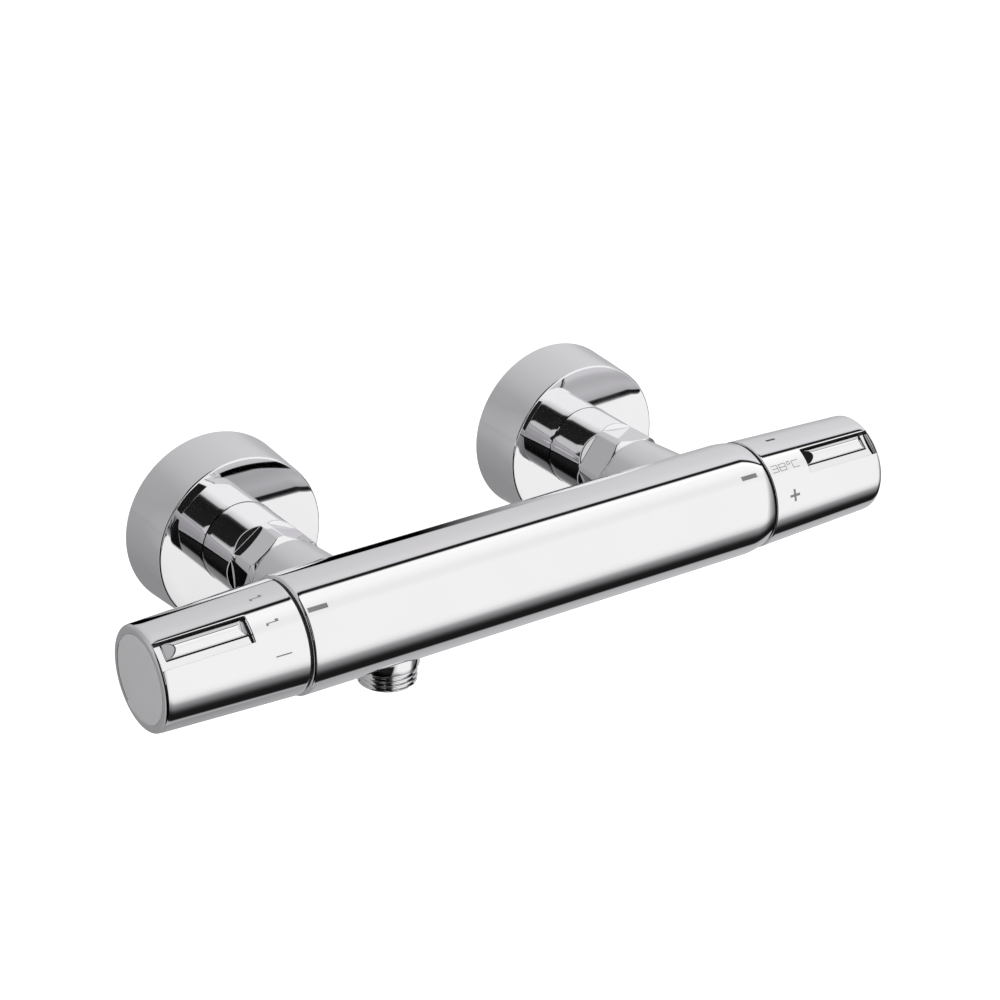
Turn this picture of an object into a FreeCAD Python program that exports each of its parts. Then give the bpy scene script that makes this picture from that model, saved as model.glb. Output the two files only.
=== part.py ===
import FreeCAD, Part
import math
import os
import re
import Sketcher

# Thermostatic bar valve for a shower: a chromed bar between two wall inlets, with a flow handle
# at its left end, a temperature handle at its right end and a hose outlet below.
#
# Frame, in millimetres: X runs along the bar towards the temperature handle, Y into the wall,
# Z up. The origin is midway between the two inlet axes, in the plane of the wall.

Vector = FreeCAD.Vector
Rotation = FreeCAD.Rotation

# ---------------------------------------------------------------- driving dimensions

SIZES = [
    # the layout
    ("inlet_centres", 150.0, "distance between the two inlet axes"),
    ("standoff", 91.0, "bar axis to the wall"),
    ("bar_radius", 21.0, "outside of the bar"),
    ("bar_overhang", 22.7, "inlet axis to the end of the bar"),
    ("end_gap", 1.0, "bar end to handle"),
    ("index_angle", 47.8, "index marks, above the horizontal"),
    # clearances
    ("running_gap", 0.05, "radial clearance of a turning or sliding fit"),
    ("seat_gap", 0.05, "clearance of pieces that seat in each other"),
    ("free_gap", 0.25, "clearance of moving pieces beside their neighbours"),
    # the bar
    ("bar_edge", 1.1, "chamfer of the flow end"),
    ("shoulder_length", 4.4, "soft shoulder of the temperature end, along the bar"),
    ("shoulder_drop", 1.1, "soft shoulder of the temperature end, across the bar"),
    ("flow_bore_radius", 11.5, "bore of the flow cartridge"),
    ("flow_bore_depth", 47.7, "bar end to the floor of the flow bore"),
    ("temp_bore_radius", 15.0, "bore of the thermostatic cartridge"),
    ("temp_bore_depth", 45.7, "bar end to the floor of the thermostatic bore"),
    ("temp_pilot_radius", 12.6, "narrower inner end of the thermostatic bore"),
    ("temp_pilot_depth", 38.7, "bar end to the step of the thermostatic bore"),
    ("counterbore_depth", 9.7, "threaded counterbore of both ends"),
    ("flow_counterbore", 15.0, "counterbore radius of the flow end"),
    ("temp_counterbore", 16.5, "counterbore radius of the temperature end"),
    ("mixed_bore_radius", 6.0, "tunnel of mixed water between the cartridges"),
    ("channel_radius", 2.8, "hot water channel beside the tunnel"),
    ("channel_offset", 16.2, "hot water channel to the bar axis"),
    ("channel_overrun", 4.0, "hot inlet axis to the closed end of the channel"),
    ("channel_mouth", 35.7, "bar end to the channel's mouth in the thermostatic bore"),
    # the inlet necks of the bar
    ("neck_face", 56.0, "wall to the face of the necks"),
    ("neck_radius", 14.6, "neck at its face"),
    ("neck_taper", 4.0, "half angle of the neck's flare"),
    ("neck_round", 2.4, "fillet between neck and bar"),
    ("inlet_bore_radius", 6.5, "waterway of an inlet neck"),
    ("inlet_bore_depth", 22.0, "neck face to the end of the waterway"),
    # the outlet
    ("outlet_spacing", 18.0, "hot inlet axis to the outlet axis"),
    ("outlet_seat", 17.5, "bar axis to the spot face of the outlet"),
    ("outlet_collar_end", 22.3, "bar axis to the end of the outlet's collar"),
    ("outlet_end", 29.2, "bar axis to the end of the outlet's thread"),
    ("outlet_collar_radius", 11.3, "collar over the outlet's thread"),
    ("outlet_thread_radius", 10.48, "G 1/2 male thread"),
    ("outlet_thread_chamfer", 1.0, "lead-in of the outlet's thread"),
    ("outlet_bore_radius", 7.0, "waterway of the outlet"),
    ("outlet_shank_radius", 8.9, "shank screwed into the bar"),
    ("outlet_shank_length", 4.9, "shank inside the bar"),
    # rosettes, union nuts and eccentric connectors
    ("rosette_back_radius", 33.9, "rosette at the wall"),
    ("rosette_front_radius", 32.6, "rosette at its face"),
    ("rosette_depth", 23.0, "rosette off the wall"),
    ("rosette_wall", 1.6, "skirt of the rosette"),
    ("rosette_face", 2.2, "face of the rosette"),
    ("rosette_round", 0.8, "front edge of the rosette"),
    ("nut_radius", 15.6, "round skirt of the union nut"),
    ("nut_start", 20.0, "wall to the open end of the nut"),
    ("nut_shoulder", 40.4, "wall to the start of the flats"),
    ("nut_flat_start", 42.2, "wall to the foot of the flats' shoulders"),
    ("nut_end", 55.3, "wall to the closed end of the nut"),
    ("nut_flats", 28.2, "distance across the flats"),
    ("nut_end_chamfer", 1.6, "chamfer of the nut's closed end, along its axis"),
    ("nut_end_step", 2.4, "chamfer of the nut's closed end, across its axis"),
    ("nut_edge", 0.4, "chamfer of the nut's open end"),
    ("nut_lip", 3.6, "inward lip that pulls the tail"),
    ("hot_nut_turn", 5.0, "clocking of the hot nut's flats"),
    ("cold_nut_turn", 23.0, "clocking of the cold nut's flats"),
    ("wall_thread_radius", 10.48, "G 1/2 male thread into the wall"),
    ("wall_thread_length", 16.0, "thread beyond the wall's plane"),
    ("eccentricity", 8.0, "wall thread below the union's axis"),
    ("wall_bore_radius", 6.5, "waterway of the wall thread"),
    ("offset_disc_start", 2.0, "wall to the disc that joins the two axes"),
    ("offset_disc_length", 8.0, "disc that joins the two axes"),
    ("offset_disc_radius", 18.0, "disc that joins the two axes"),
    ("union_thread_radius", 13.2, "G 3/4 male thread under the nut"),
    ("union_bore_radius", 8.5, "waterway of the union"),
    ("union_end", 45.5, "wall to the end of the union"),
    ("washer_thickness", 1.9, "filter washer"),
    ("filter_thickness", 0.6, "perforated disc of the filter washer"),
    ("filter_hole_radius", 1.5, "hole of the perforated disc"),
    ("filter_hole_ring", 5.0, "ring of the perforated disc's holes"),
    ("tail_flange_radius", 12.9, "flange that the nut pulls"),
    ("tail_flange_length", 4.2, "flange that the nut pulls"),
    ("tail_radius", 11.4, "tail screwed into the neck"),
    ("tail_length", 18.6, "tail with its flange"),
    ("tail_bore_radius", 8.5, "bore for the non-return valve"),
    # non-return valves
    ("check_length", 15.0, "cartridge"),
    ("check_seat_thickness", 1.5, "wall with the seat"),
    ("check_seat_radius", 4.6, "hole of the seat"),
    ("check_bore_radius", 6.9, "inside of the cartridge"),
    ("check_guide_start", 11.5, "seat face to the guide"),
    ("check_guide_thickness", 1.5, "guide disc"),
    ("check_guide_holes", 1.5, "water holes of the guide disc"),
    ("check_guide_ring", 4.7, "ring of the guide disc's holes"),
    ("poppet_radius", 5.6, "disc of the poppet"),
    ("poppet_thickness", 2.0, "disc of the poppet"),
    ("poppet_stem_radius", 1.4, "stem of the poppet"),
    ("poppet_stem_length", 10.0, "stem of the poppet"),
    ("check_spring_radius", 3.4, "mean radius of the poppet's spring"),
    ("check_spring_wire", 0.35, "half the wire of the poppet's spring"),
    # handles
    ("handle_length", 52.3, "handle along the bar"),
    ("handle_root_radius", 20.2, "handle beside the bar"),
    ("handle_tip_radius", 18.4, "handle at its tip"),
    ("handle_tip_round", 1.5, "edge of the tip"),
    ("handle_root_edge", 0.4, "chamfer beside the bar"),
    ("handle_bore", 15.2, "inside of the handle"),
    ("cap_radius", 15.4, "end cap"),
    ("cap_thickness", 1.5, "end cap"),
    ("cap_edge", 0.25, "chamfer of the end cap"),
    ("cap_stem_length", 8.5, "plug of the end cap"),
    ("cap_gap", 0.1, "end cap in its seat"),
    # the press buttons in the handles
    ("recess_start", 18.3, "handle root to the recess"),
    ("recess_end", 51.3, "handle root to the recess's outer end"),
    ("recess_half_width", 4.6, "recess across the handle"),
    ("recess_depth", 2.1, "recess below the handle's surface"),
    ("button_start", 18.65, "handle root to the button"),
    ("button_length", 29.8, "button along the handle"),
    ("button_half_width", 3.6, "button across the handle"),
    ("button_rise", 2.5, "crown over the recess's floor"),
    ("button_crown_radius", 4.6, "crown of the button"),
    ("button_slope", 32.0, "slope of the button's ends"),
    ("button_slope_foot", 0.3, "foot of the ends' slopes over the recess's floor"),
    ("bevel_inwards", 9.0, "block that cuts a slope, from its foot to the button's middle"),
    ("bevel_outwards", 3.0, "block that cuts a slope, from its foot outwards"),
    ("bevel_height", 6.0, "block that cuts a slope"),
    ("button_gap", 0.15, "button in its window"),
    ("button_flange_margin", 0.6, "flange beyond the button"),
    ("button_flange_top", 14.25, "handle axis to the top of the flange"),
    ("button_flange_thickness", 1.1, "flange under the handle"),
    ("button_spring_radius", 1.5, "mean radius of the button's spring"),
    ("button_spring_wire", 0.2, "half the wire of the button's spring"),
    ("spring_pocket_floor", 7.6, "handle axis to the floor of the spring's pocket"),
    ("spring_pocket_radius", 2.1, "pocket of the button's spring"),
    # carriers, spindles and screws
    ("spindle_radius", 4.2, "both spindles"),
    ("spindle_reach", 12.3, "bar end to the spindles' tips"),
    ("tapped_depth", 14.0, "tapped hole of the spindles"),
    ("screw_radius", 2.0, "handle screw"),
    ("screw_head_radius", 3.6, "handle screw's head"),
    ("screw_head_length", 3.2, "handle screw's head"),
    ("screw_socket_radius", 1.5, "socket of the screw's head"),
    ("screw_length", 13.0, "screw below its head, past the carrier's web"),
    ("carrier_hub_reach", 3.3, "bar end to the carrier's hub"),
    ("carrier_hub_radius", 9.0, "hub on the spindle"),
    ("carrier_disc_reach", 5.3, "bar end to the root disc"),
    ("carrier_disc_length", 3.0, "root disc"),
    ("carrier_tube_radius", 11.4, "tube under the button"),
    ("carrier_tube_bore", 5.2, "way for the screw"),
    ("carrier_web", 2.8, "web under the screw's head"),
    ("carrier_tip_disc", 1.0, "disc under the end cap"),
    # travel stops
    ("stop_ring_radius", 19.3, "dark ring between bar and handle"),
    ("stop_ring_thickness", 0.65, "dark ring between bar and handle"),
    ("stop_hub_depth", 0.4, "ring inside the counterbore"),
    ("stop_inner_radius", 10.0, "stop lugs, inside"),
    ("stop_outer_radius", 13.0, "stop lugs, outside"),
    ("stop_lug_length", 3.7, "fixed lug along the bar"),
    ("stop_half_angle", 8.0, "half the turning lug"),
    ("stop_clearance", 1.0, "angle left at each end of travel"),
    ("flow_travel", 45.0, "flow handle each way from its middle mark"),
    ("temp_hot_travel", 90.0, "temperature handle towards hot"),
    ("temp_cold_travel", 150.0, "temperature handle towards cold"),
    # the flow cartridge
    ("cartridge_flange", 2.5, "flanges held by the retaining nuts"),
    ("flow_seal_thickness", 2.0, "seal on the floor of the flow bore"),
    ("flow_seal_inner", 6.2, "waterway of the seal"),
    ("disc_thickness", 3.0, "ceramic discs"),
    ("disc_radius", 10.1, "ceramic discs"),
    ("disc_window_angle", 80.0, "window of the ceramic discs"),
    ("disc_window_inner", 2.5, "window of the ceramic discs"),
    ("disc_window_outer", 8.6, "window of the ceramic discs"),
    ("driver_thickness", 3.9, "spindle's driver behind the discs"),
    ("driver_radius", 9.7, "spindle's driver behind the discs"),
    ("flow_chamber_radius", 10.3, "inside of the flow cartridge"),
    ("flow_window_width", 8.0, "side windows of the flow cartridge"),
    ("flow_neck_radius", 8.0, "neck of the flow cartridge"),
    ("neck_reach", 2.3, "bar end to the end of the cartridges' necks"),
    ("nut_notch", 3.0, "spanner notches of the retaining nuts"),
    # the thermostatic cartridge
    ("temp_neck_radius", 9.0, "neck of the thermostatic cartridge"),
    ("temp_chamber_radius", 11.6, "inside of the thermostatic cartridge"),
    ("temp_pilot_bore", 9.3, "inside of the cartridge's inner end"),
    ("temp_wall_lip", 2.0, "lip at the inner end of the cartridge"),
    ("temp_lip_radius", 7.2, "waterway of the lip"),
    ("hot_port_depth", 35.9, "bar end to the middle of the hot port"),
    ("cold_port_depth", 22.2, "bar end to the middle of the cold port"),
    ("port_length", 4.6, "ports along the cartridge"),
    ("port_width", 9.0, "ports across the cartridge"),
    ("ring_groove", 2.0, "width of the seal grooves"),
    ("ring_depth", 1.9, "depth of the seal grooves"),
    ("thrust_collar_radius", 7.0, "collar that holds the spindle in"),
    ("thrust_collar_length", 2.8, "collar that holds the spindle in"),
    ("thrust_collar_depth", 9.3, "bar end to the collar's outer face"),
    ("regulating_radius", 5.0, "regulating thread of the spindle"),
    ("regulating_length", 7.6, "regulating thread of the spindle"),
    ("regulating_nut_radius", 8.4, "regulating nut"),
    ("regulating_nut_depth", 22.5, "bar end to the regulating nut"),
    ("regulating_nut_length", 8.8, "regulating nut"),
    ("regulating_nut_wall", 1.2, "closed end of the regulating nut"),
    ("regulating_key_width", 3.0, "key that stops the nut from turning"),
    ("element_radius", 4.0, "wax element"),
    ("element_length", 13.0, "wax element without its pin"),
    ("element_pin_radius", 1.5, "pin of the wax element"),
    ("element_pin_length", 3.2, "pin of the wax element"),
    ("shuttle_gap", 3.2, "step of the cartridge's bore to the shuttle"),
    ("shuttle_length", 10.4, "shuttle that meters hot and cold"),
    ("shuttle_rim", 1.6, "rim of the shuttle"),
    ("shuttle_web", 2.0, "web of the shuttle"),
    ("shuttle_hub_radius", 5.6, "hub on the wax element"),
    ("shuttle_hole_radius", 1.6, "mixing holes of the shuttle"),
    ("shuttle_hole_ring", 7.7, "ring of the mixing holes"),
    ("temp_spring_radius", 8.4, "mean radius of the return spring"),
    ("temp_spring_wire", 0.5, "half the wire of the return spring"),
]

# Stations along the bar that follow from those sizes, measured outwards from its middle
STATIONS = [
    ("bar_end", "inlet_centres / 2 + bar_overhang", "end of the bar"),
    ("flow_bore_floor", "bar_end - flow_bore_depth", "floor of the flow bore"),
    ("temp_bore_floor", "bar_end - temp_bore_depth", "floor of the thermostatic bore"),
    ("temp_pilot_end", "bar_end - temp_pilot_depth", "step of the thermostatic bore"),
    ("channel_start", "inlet_centres / 2 + channel_overrun", "closed end of the hot channel"),
    ("channel_end", "bar_end - channel_mouth", "mouth of the hot channel"),
    ("outlet_offset", "inlet_centres / 2 - outlet_spacing", "outlet axis, on the flow side"),
    ("spindle_tip", "bar_end + spindle_reach", "tips of the spindles"),
    ("carrier_start", "bar_end + carrier_hub_reach", "hub of the carriers"),
    ("carrier_disc_start", "bar_end + carrier_disc_reach", "root disc of the carriers"),
    ("neck_end", "bar_end + neck_reach", "end of the cartridges' necks"),
    ("hot_port", "bar_end - hot_port_depth", "middle of the hot port"),
    ("cold_port", "bar_end - cold_port_depth", "middle of the cold port"),
    ("thrust_collar_end", "bar_end - thrust_collar_depth", "outer face of the thrust collar"),
    ("regulating_nut_start", "bar_end - regulating_nut_depth", "closed end of the regulating nut"),
    ("shuttle_start", "temp_pilot_end + temp_wall_lip / 2 + shuttle_gap", "inner end of the shuttle"),
]

doc = FreeCAD.newDocument("ShowerValve")
sheet = doc.addObject("Spreadsheet::Sheet", "Sizes")
for row, (alias, value, meaning) in enumerate(SIZES + STATIONS, start=1):
    sheet.set(f"A{row}", meaning)
    sheet.set(f"B{row}", f"={value}")
    sheet.setAlias(f"B{row}", alias)
doc.recompute()
size = {alias: sheet.get(alias) for alias, _, _ in SIZES + STATIONS}

# Further stations, as expressions that many pieces share
COUNTERBORE = "(bar_end - counterbore_depth)"
HANDLE_ROOT = "(bar_end + end_gap)"
HANDLE_TIP = "(bar_end + end_gap + handle_length)"
HANDLE_SLOPE = "atan((handle_root_radius - handle_tip_radius) / handle_length)"
CAP_BACK = f"({HANDLE_TIP} - cap_thickness)"
CARRIER_END = f"({CAP_BACK} - 2 * cap_gap)"
CARRIER_TIP_DISC = f"({CARRIER_END} - carrier_tip_disc)"
CARRIER_WEB_END = "(spindle_tip + free_gap + carrier_web)"
NUT_END = f"(bar_end - 2 * free_gap)"
TAIL_START = "(union_end + washer_thickness)"
TAIL_FLANGE_END = f"({TAIL_START} + tail_flange_length)"
CHECK_START = f"({TAIL_START} + cap_thickness)"

# Where a sketch's points stand before its constraints place them
SKETCH_START = Vector(200, 200, 0)
SKETCH_SPREAD = 60
# How far two lengths may differ and still be the same edge
TOLERANCE = 0.01

nodes = {}
cuts = []


# ---------------------------------------------------------------- helpers

def tie(expression):
    """The expression with each size's name turned into its cell in the sheet."""
    return re.sub(r"[a-z_]+[a-z]", lambda word: f"Sizes.{word.group()}" if word.group() in size
                  else word.group(), expression)


def bind(obj, **expressions):
    """Tie properties of an object to expressions of the sizes; __ stands for a dot."""
    for path, expression in expressions.items():
        obj.setExpression(path.replace("__", "."), tie(expression))
    return obj


def bar_frame(side, level=False):
    """Local X outwards along the bar from its middle, local Z towards the index marks or up."""
    tilt = Rotation(Vector(1, 0, 0), 0 if level else 90 - size["index_angle"])
    if side < 0:
        tilt = tilt.multiply(Rotation(Vector(0, 0, 1), 180))
    return FreeCAD.Placement(Vector(0, -size["standoff"], 0), tilt)


def inlet_frame(side):
    """Local Z from the wall into the room along an inlet, local Y up."""
    return FreeCAD.Placement(Vector(side * size["inlet_centres"] / 2, 0, 0), Rotation(Vector(1, 0, 0), 90))


def keep(node, obj, placement):
    """Name a finished sub-part and put it where it belongs."""
    obj.Label = node
    obj.Placement = placement
    nodes[node] = obj
    return obj


def new_body(name):
    return doc.addObject("PartDesign::Body", name + "_body")


def new_sketch(body, plane, offset=None):
    """A sketch on one of the body's own planes, moved off it by an expression."""
    sketch = body.newObject("Sketcher::SketchObject", body.Name + "_sketch")
    origin_plane = [item for item in body.Origin.OriginFeatures if item.Role == plane][0]
    sketch.AttachmentSupport = [(origin_plane, "")]
    sketch.MapMode = "FlatFace"
    if offset:
        bind(sketch, AttachmentOffset__Base__z=offset)
    return sketch


def fix_point(sketch, geometry, point, x, y, start):
    """Hold a point of the sketch at (x, y), both expressions."""
    for kind, expression, value in (("DistanceX", x, start.x), ("DistanceY", y, start.y)):
        index = sketch.addConstraint(Sketcher.Constraint(kind, -1, 1, geometry, point, value))
        sketch.setExpression(f"Constraints[{index}]", tie(expression))


def draw_outline(sketch, corners):
    """A closed outline of straight edges whose corners are held by expressions."""
    count = len(corners)
    first = sketch.GeometryCount
    starts = [SKETCH_START + Vector(math.cos(math.tau * i / count), math.sin(math.tau * i / count), 0)
              * SKETCH_SPREAD for i in range(count)]
    for i in range(count):
        sketch.addGeometry(Part.LineSegment(starts[i], starts[(i + 1) % count]), False)
    for i in range(count):
        sketch.addConstraint(Sketcher.Constraint("Coincident", first + i, 2, first + (i + 1) % count, 1))
    for i, (x, y) in enumerate(corners):
        fix_point(sketch, first + i, 1, x, y, starts[i])


def draw_rectangle(sketch, x_low, x_high, y_low, y_high):
    draw_outline(sketch, [(x_low, y_low), (x_high, y_low), (x_high, y_high), (x_low, y_high)])


def draw_circle(sketch, x, y, radius):
    index = sketch.addGeometry(Part.Circle(SKETCH_START, Vector(0, 0, 1), SKETCH_SPREAD), False)
    fix_point(sketch, index, 3, x, y, SKETCH_START)
    held = sketch.addConstraint(Sketcher.Constraint("Radius", index, SKETCH_SPREAD))
    sketch.setExpression(f"Constraints[{held}]", tie(radius))


def revolve(body, corners, axis, feature="PartDesign::Revolution"):
    """Turn an outline drawn on the XZ plane: axis H_Axis is local X, V_Axis is local Z."""
    sketch = new_sketch(body, "XZ_Plane")
    draw_outline(sketch, corners)
    turned = body.newObject(feature, body.Name + "_turned")
    turned.Profile = sketch
    turned.ReferenceAxis = (sketch, [axis])
    turned.Angle = 360
    return turned


def turned_on_bar(node, corners, side, level=False):
    """A turned piece of the bar's axis; corners are (distance from the middle, radius)."""
    body = new_body(node)
    revolve(body, corners, "H_Axis")
    return keep(node, body, bar_frame(side, level))


def turned_on_inlet(node, corners, side):
    """A turned piece of an inlet's axis; corners are (radius, distance from the wall)."""
    body = new_body(node)
    revolve(body, corners, "V_Axis")
    return keep(node, body, inlet_frame(side))


def pocket(body, sketch, depth=None, reverse=False, both_ways=False):
    """Cut a sketch into the body: to a depth, or right through where no depth is given."""
    before = body.Tip
    cut = body.newObject("PartDesign::Pocket", body.Name + "_cut")
    cut.Profile = sketch
    cut.Reversed = reverse
    cut.Midplane = both_ways
    if depth:
        cut.Type = 0
        bind(cut, Length=depth)
    else:
        cut.Type = 1
    cuts.append((cut, before))
    return cut


def polar(body, feature, sketch, axis, count):
    """Repeat a feature about an axis of its sketch or of the body."""
    pattern = body.newObject("PartDesign::PolarPattern", body.Name + "_pattern")
    pattern.Originals = [feature]
    pattern.Axis = (sketch, [axis])
    pattern.Angle = 360
    pattern.Occurrences = count
    body.Tip = pattern
    return pattern


def edges_where(feature, test):
    """Names of the feature's edges that pass a test."""
    return [f"Edge{i}" for i, edge in enumerate(feature.Shape.Edges, start=1) if test(edge)]


def ring_edges(feature, along, radius, axis="x"):
    """Full circles of a radius at a station along an axis."""
    def test(edge):
        curve = edge.Curve
        return (isinstance(curve, Part.Circle) and abs(curve.Radius - radius) < TOLERANCE
                and abs(getattr(curve.Center, axis) - along) < TOLERANCE)
    return edges_where(feature, test)


def fillet(body, edges, radius, base):
    rounded = body.newObject("PartDesign::Fillet", body.Name + "_round")
    rounded.Base = (base, edges)
    bind(rounded, Radius=radius)
    return rounded


def cylinder(name, radius, length):
    rod = doc.addObject("Part::Cylinder", name)
    return bind(rod, Radius=radius, Height=length)


def box(name, x, y, z, length, width, height):
    block = doc.addObject("Part::Box", name)
    bind(block, Length=length, Width=width, Height=height)
    return bind(block, Placement__Base__x=x, Placement__Base__y=y, Placement__Base__z=z)


def fuse(name, pieces):
    whole = doc.addObject("Part::MultiFuse", name)
    whole.Shapes = pieces
    return whole


def cut(name, base, tool):
    result = doc.addObject("Part::Cut", name)
    result.Base = base
    result.Tool = tool
    return result


def common(name, first, second):
    result = doc.addObject("Part::Common", name)
    result.Base = first
    result.Tool = second
    return result


def along_bar(rod, start):
    """Lay a cylinder along local X from a station."""
    rod.Placement = FreeCAD.Placement(Vector(0, 0, 0), Rotation(Vector(0, 1, 0), 90))
    return bind(rod, Placement__Base__x=start)


def sector(name, start, length, inner, outer, first_angle, sweep):
    """Part of a ring about local X, from first_angle past local Z, right-handed about X."""
    pieces = []
    for part, radius in (("outer", outer), ("inner", inner)):
        rod = cylinder(f"{name}_{part}", radius, length)
        turn = Rotation(Vector(1, 0, 0), first_angle - 180)
        rod.Placement = FreeCAD.Placement(Vector(0, 0, 0), turn.multiply(Rotation(Vector(0, 1, 0), 90)))
        bind(rod, Placement__Base__x=start)
        pieces.append(rod)
    bind(pieces[0], Angle=sweep)
    return cut(name, pieces[0], pieces[1])


def coil(node, mean_radius, half_wire, length, placement):
    """A square-wire spring along local Z, as a ruled loft of sections ten to the turn."""
    turns = 4
    per_turn = 10
    count = turns * per_turn
    corner = half_wire * math.sqrt(2)
    sections = []
    for i in range(count + 1):
        angle = math.tau * i / per_turn
        outward = Vector(math.cos(angle), math.sin(angle), 0)
        middle = outward * mean_radius + Vector(0, 0, half_wire + (length - 2 * half_wire) * i / count)
        corners = [middle + outward * (corner * math.cos(math.pi * (2 * k + 1) / 4))
                   + Vector(0, 0, corner * math.sin(math.pi * (2 * k + 1) / 4)) for k in range(4)]
        sections.append(Part.makePolygon(corners + corners[:1]))
    feature = doc.addObject("Part::Feature", node + "_coil")
    feature.Shape = Part.makeLoft(sections, True, True)
    return keep(node, feature, placement)


# ---------------------------------------------------------------- the bar

def make_bar():
    """The brass bar with its two inlet necks, cartridge bores, channel and outlet seat."""
    body = new_body("valve_body")
    shoulder = [(f"bar_end - shoulder_length * {1 - share}", f"bar_radius - shoulder_drop * {share ** 2}")
                for share in (0, 0.25, 0.5, 0.75, 1)]
    revolve(body, [
        (f"-bar_end", "0"),
        (f"-bar_end", "bar_radius - bar_edge"),
        (f"-bar_end + bar_edge", "bar_radius")] + shoulder + [("bar_end", "0")], "H_Axis")

    sketch = new_sketch(body, "XZ_Plane", "-(standoff - neck_face)")
    for sign in ("-", ""):
        draw_circle(sketch, f"{sign}inlet_centres / 2", "0", "neck_radius")
    necks = body.newObject("PartDesign::Pad", "necks")
    necks.Profile = sketch
    bind(necks, Length="standoff - neck_face", TaperAngle="neck_taper")
    doc.recompute()
    meeting = edges_where(necks, lambda edge: not isinstance(edge.Curve, (Part.Circle, Part.Line))
                          and edge.BoundBox.YMin > 0)
    fillet(body, meeting, "neck_round", necks)

    revolve(body, [
        (f"-bar_end - end_gap", "0"),
        (f"-bar_end - end_gap", "flow_counterbore"),
        (f"-{COUNTERBORE}", "flow_counterbore"),
        (f"-{COUNTERBORE}", "flow_bore_radius"),
        ("-flow_bore_floor", "flow_bore_radius"),
        ("-flow_bore_floor", "mixed_bore_radius"),
        ("temp_bore_floor", "mixed_bore_radius"),
        ("temp_bore_floor", "temp_pilot_radius"),
        ("temp_pilot_end", "temp_pilot_radius"),
        ("temp_pilot_end", "temp_bore_radius"),
        (COUNTERBORE, "temp_bore_radius"),
        (COUNTERBORE, "temp_counterbore"),
        (f"bar_end + end_gap", "temp_counterbore"),
        (f"bar_end + end_gap", "0")], "H_Axis", "PartDesign::Groove")

    channel = new_sketch(body, "YZ_Plane", "-channel_start")
    draw_circle(channel, "channel_offset", "0", "channel_radius")
    pocket(body, channel, "channel_start + channel_end", reverse=True)

    for radius, depth in (("tail_radius + seat_gap", f"{TAIL_START} + tail_length + free_gap - neck_face"),
                          ("inlet_bore_radius", "inlet_bore_depth")):
        sketch = new_sketch(body, "XZ_Plane", "-(standoff - neck_face)")
        for sign in ("-", ""):
            draw_circle(sketch, f"{sign}inlet_centres / 2", "0", radius)
        pocket(body, sketch, depth, reverse=True)

    for radius, low, high in (("outlet_collar_radius + free_gap", "bar_radius + 1", "outlet_seat"),
                              ("outlet_shank_radius + seat_gap", "bar_radius",
                               "outlet_seat - outlet_shank_length - seat_gap"),
                              ("outlet_bore_radius - 0.5", "bar_radius", "flow_bore_radius - 2")):
        sketch = new_sketch(body, "XY_Plane", f"-({low})")
        draw_circle(sketch, "-outlet_offset", "0", radius)
        pocket(body, sketch, f"{low} - ({high})", reverse=True)
    return keep("valve_body", body, FreeCAD.Placement(Vector(0, -size["standoff"], 0), Rotation()))


def make_outlet():
    """The outlet nipple: a shank in the bar, a collar and a thread for the hose."""
    body = new_body("outlet_nipple")
    revolve(body, [
        ("outlet_bore_radius", "-(outlet_seat - outlet_shank_length)"),
        ("outlet_shank_radius", "-(outlet_seat - outlet_shank_length)"),
        ("outlet_shank_radius", "-outlet_seat"),
        ("outlet_collar_radius", "-outlet_seat"),
        ("outlet_collar_radius", "-outlet_collar_end"),
        ("outlet_thread_radius", "-outlet_collar_end"),
        ("outlet_thread_radius", "-(outlet_end - outlet_thread_chamfer)"),
        ("outlet_thread_radius - outlet_thread_chamfer", "-outlet_end"),
        ("outlet_bore_radius", "-outlet_end")], "V_Axis")
    place = FreeCAD.Placement(Vector(-size["outlet_offset"], -size["standoff"], 0), Rotation())
    return keep("outlet_nipple", body, place)


# ---------------------------------------------------------------- inlets

def make_rosette(name, side):
    """A drawn cup against the wall, with a hole that slides over the nut's skirt."""
    slope = "(rosette_back_radius - rosette_front_radius) / rosette_depth"
    rosette = turned_on_inlet(f"{name}_rosette", [
        ("rosette_back_radius - rosette_wall", "0"),
        ("rosette_back_radius", "0"),
        ("rosette_front_radius", "rosette_depth"),
        ("nut_radius + 2 * running_gap", "rosette_depth"),
        ("nut_radius + 2 * running_gap", "rosette_depth - rosette_face"),
        (f"rosette_front_radius - rosette_wall + rosette_face * {slope}", "rosette_depth - rosette_face")],
        side)
    doc.recompute()
    rim = ring_edges(rosette.Tip, size["rosette_depth"], size["rosette_front_radius"], "z")
    fillet(rosette, rim, "rosette_round", rosette.Tip)


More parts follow.
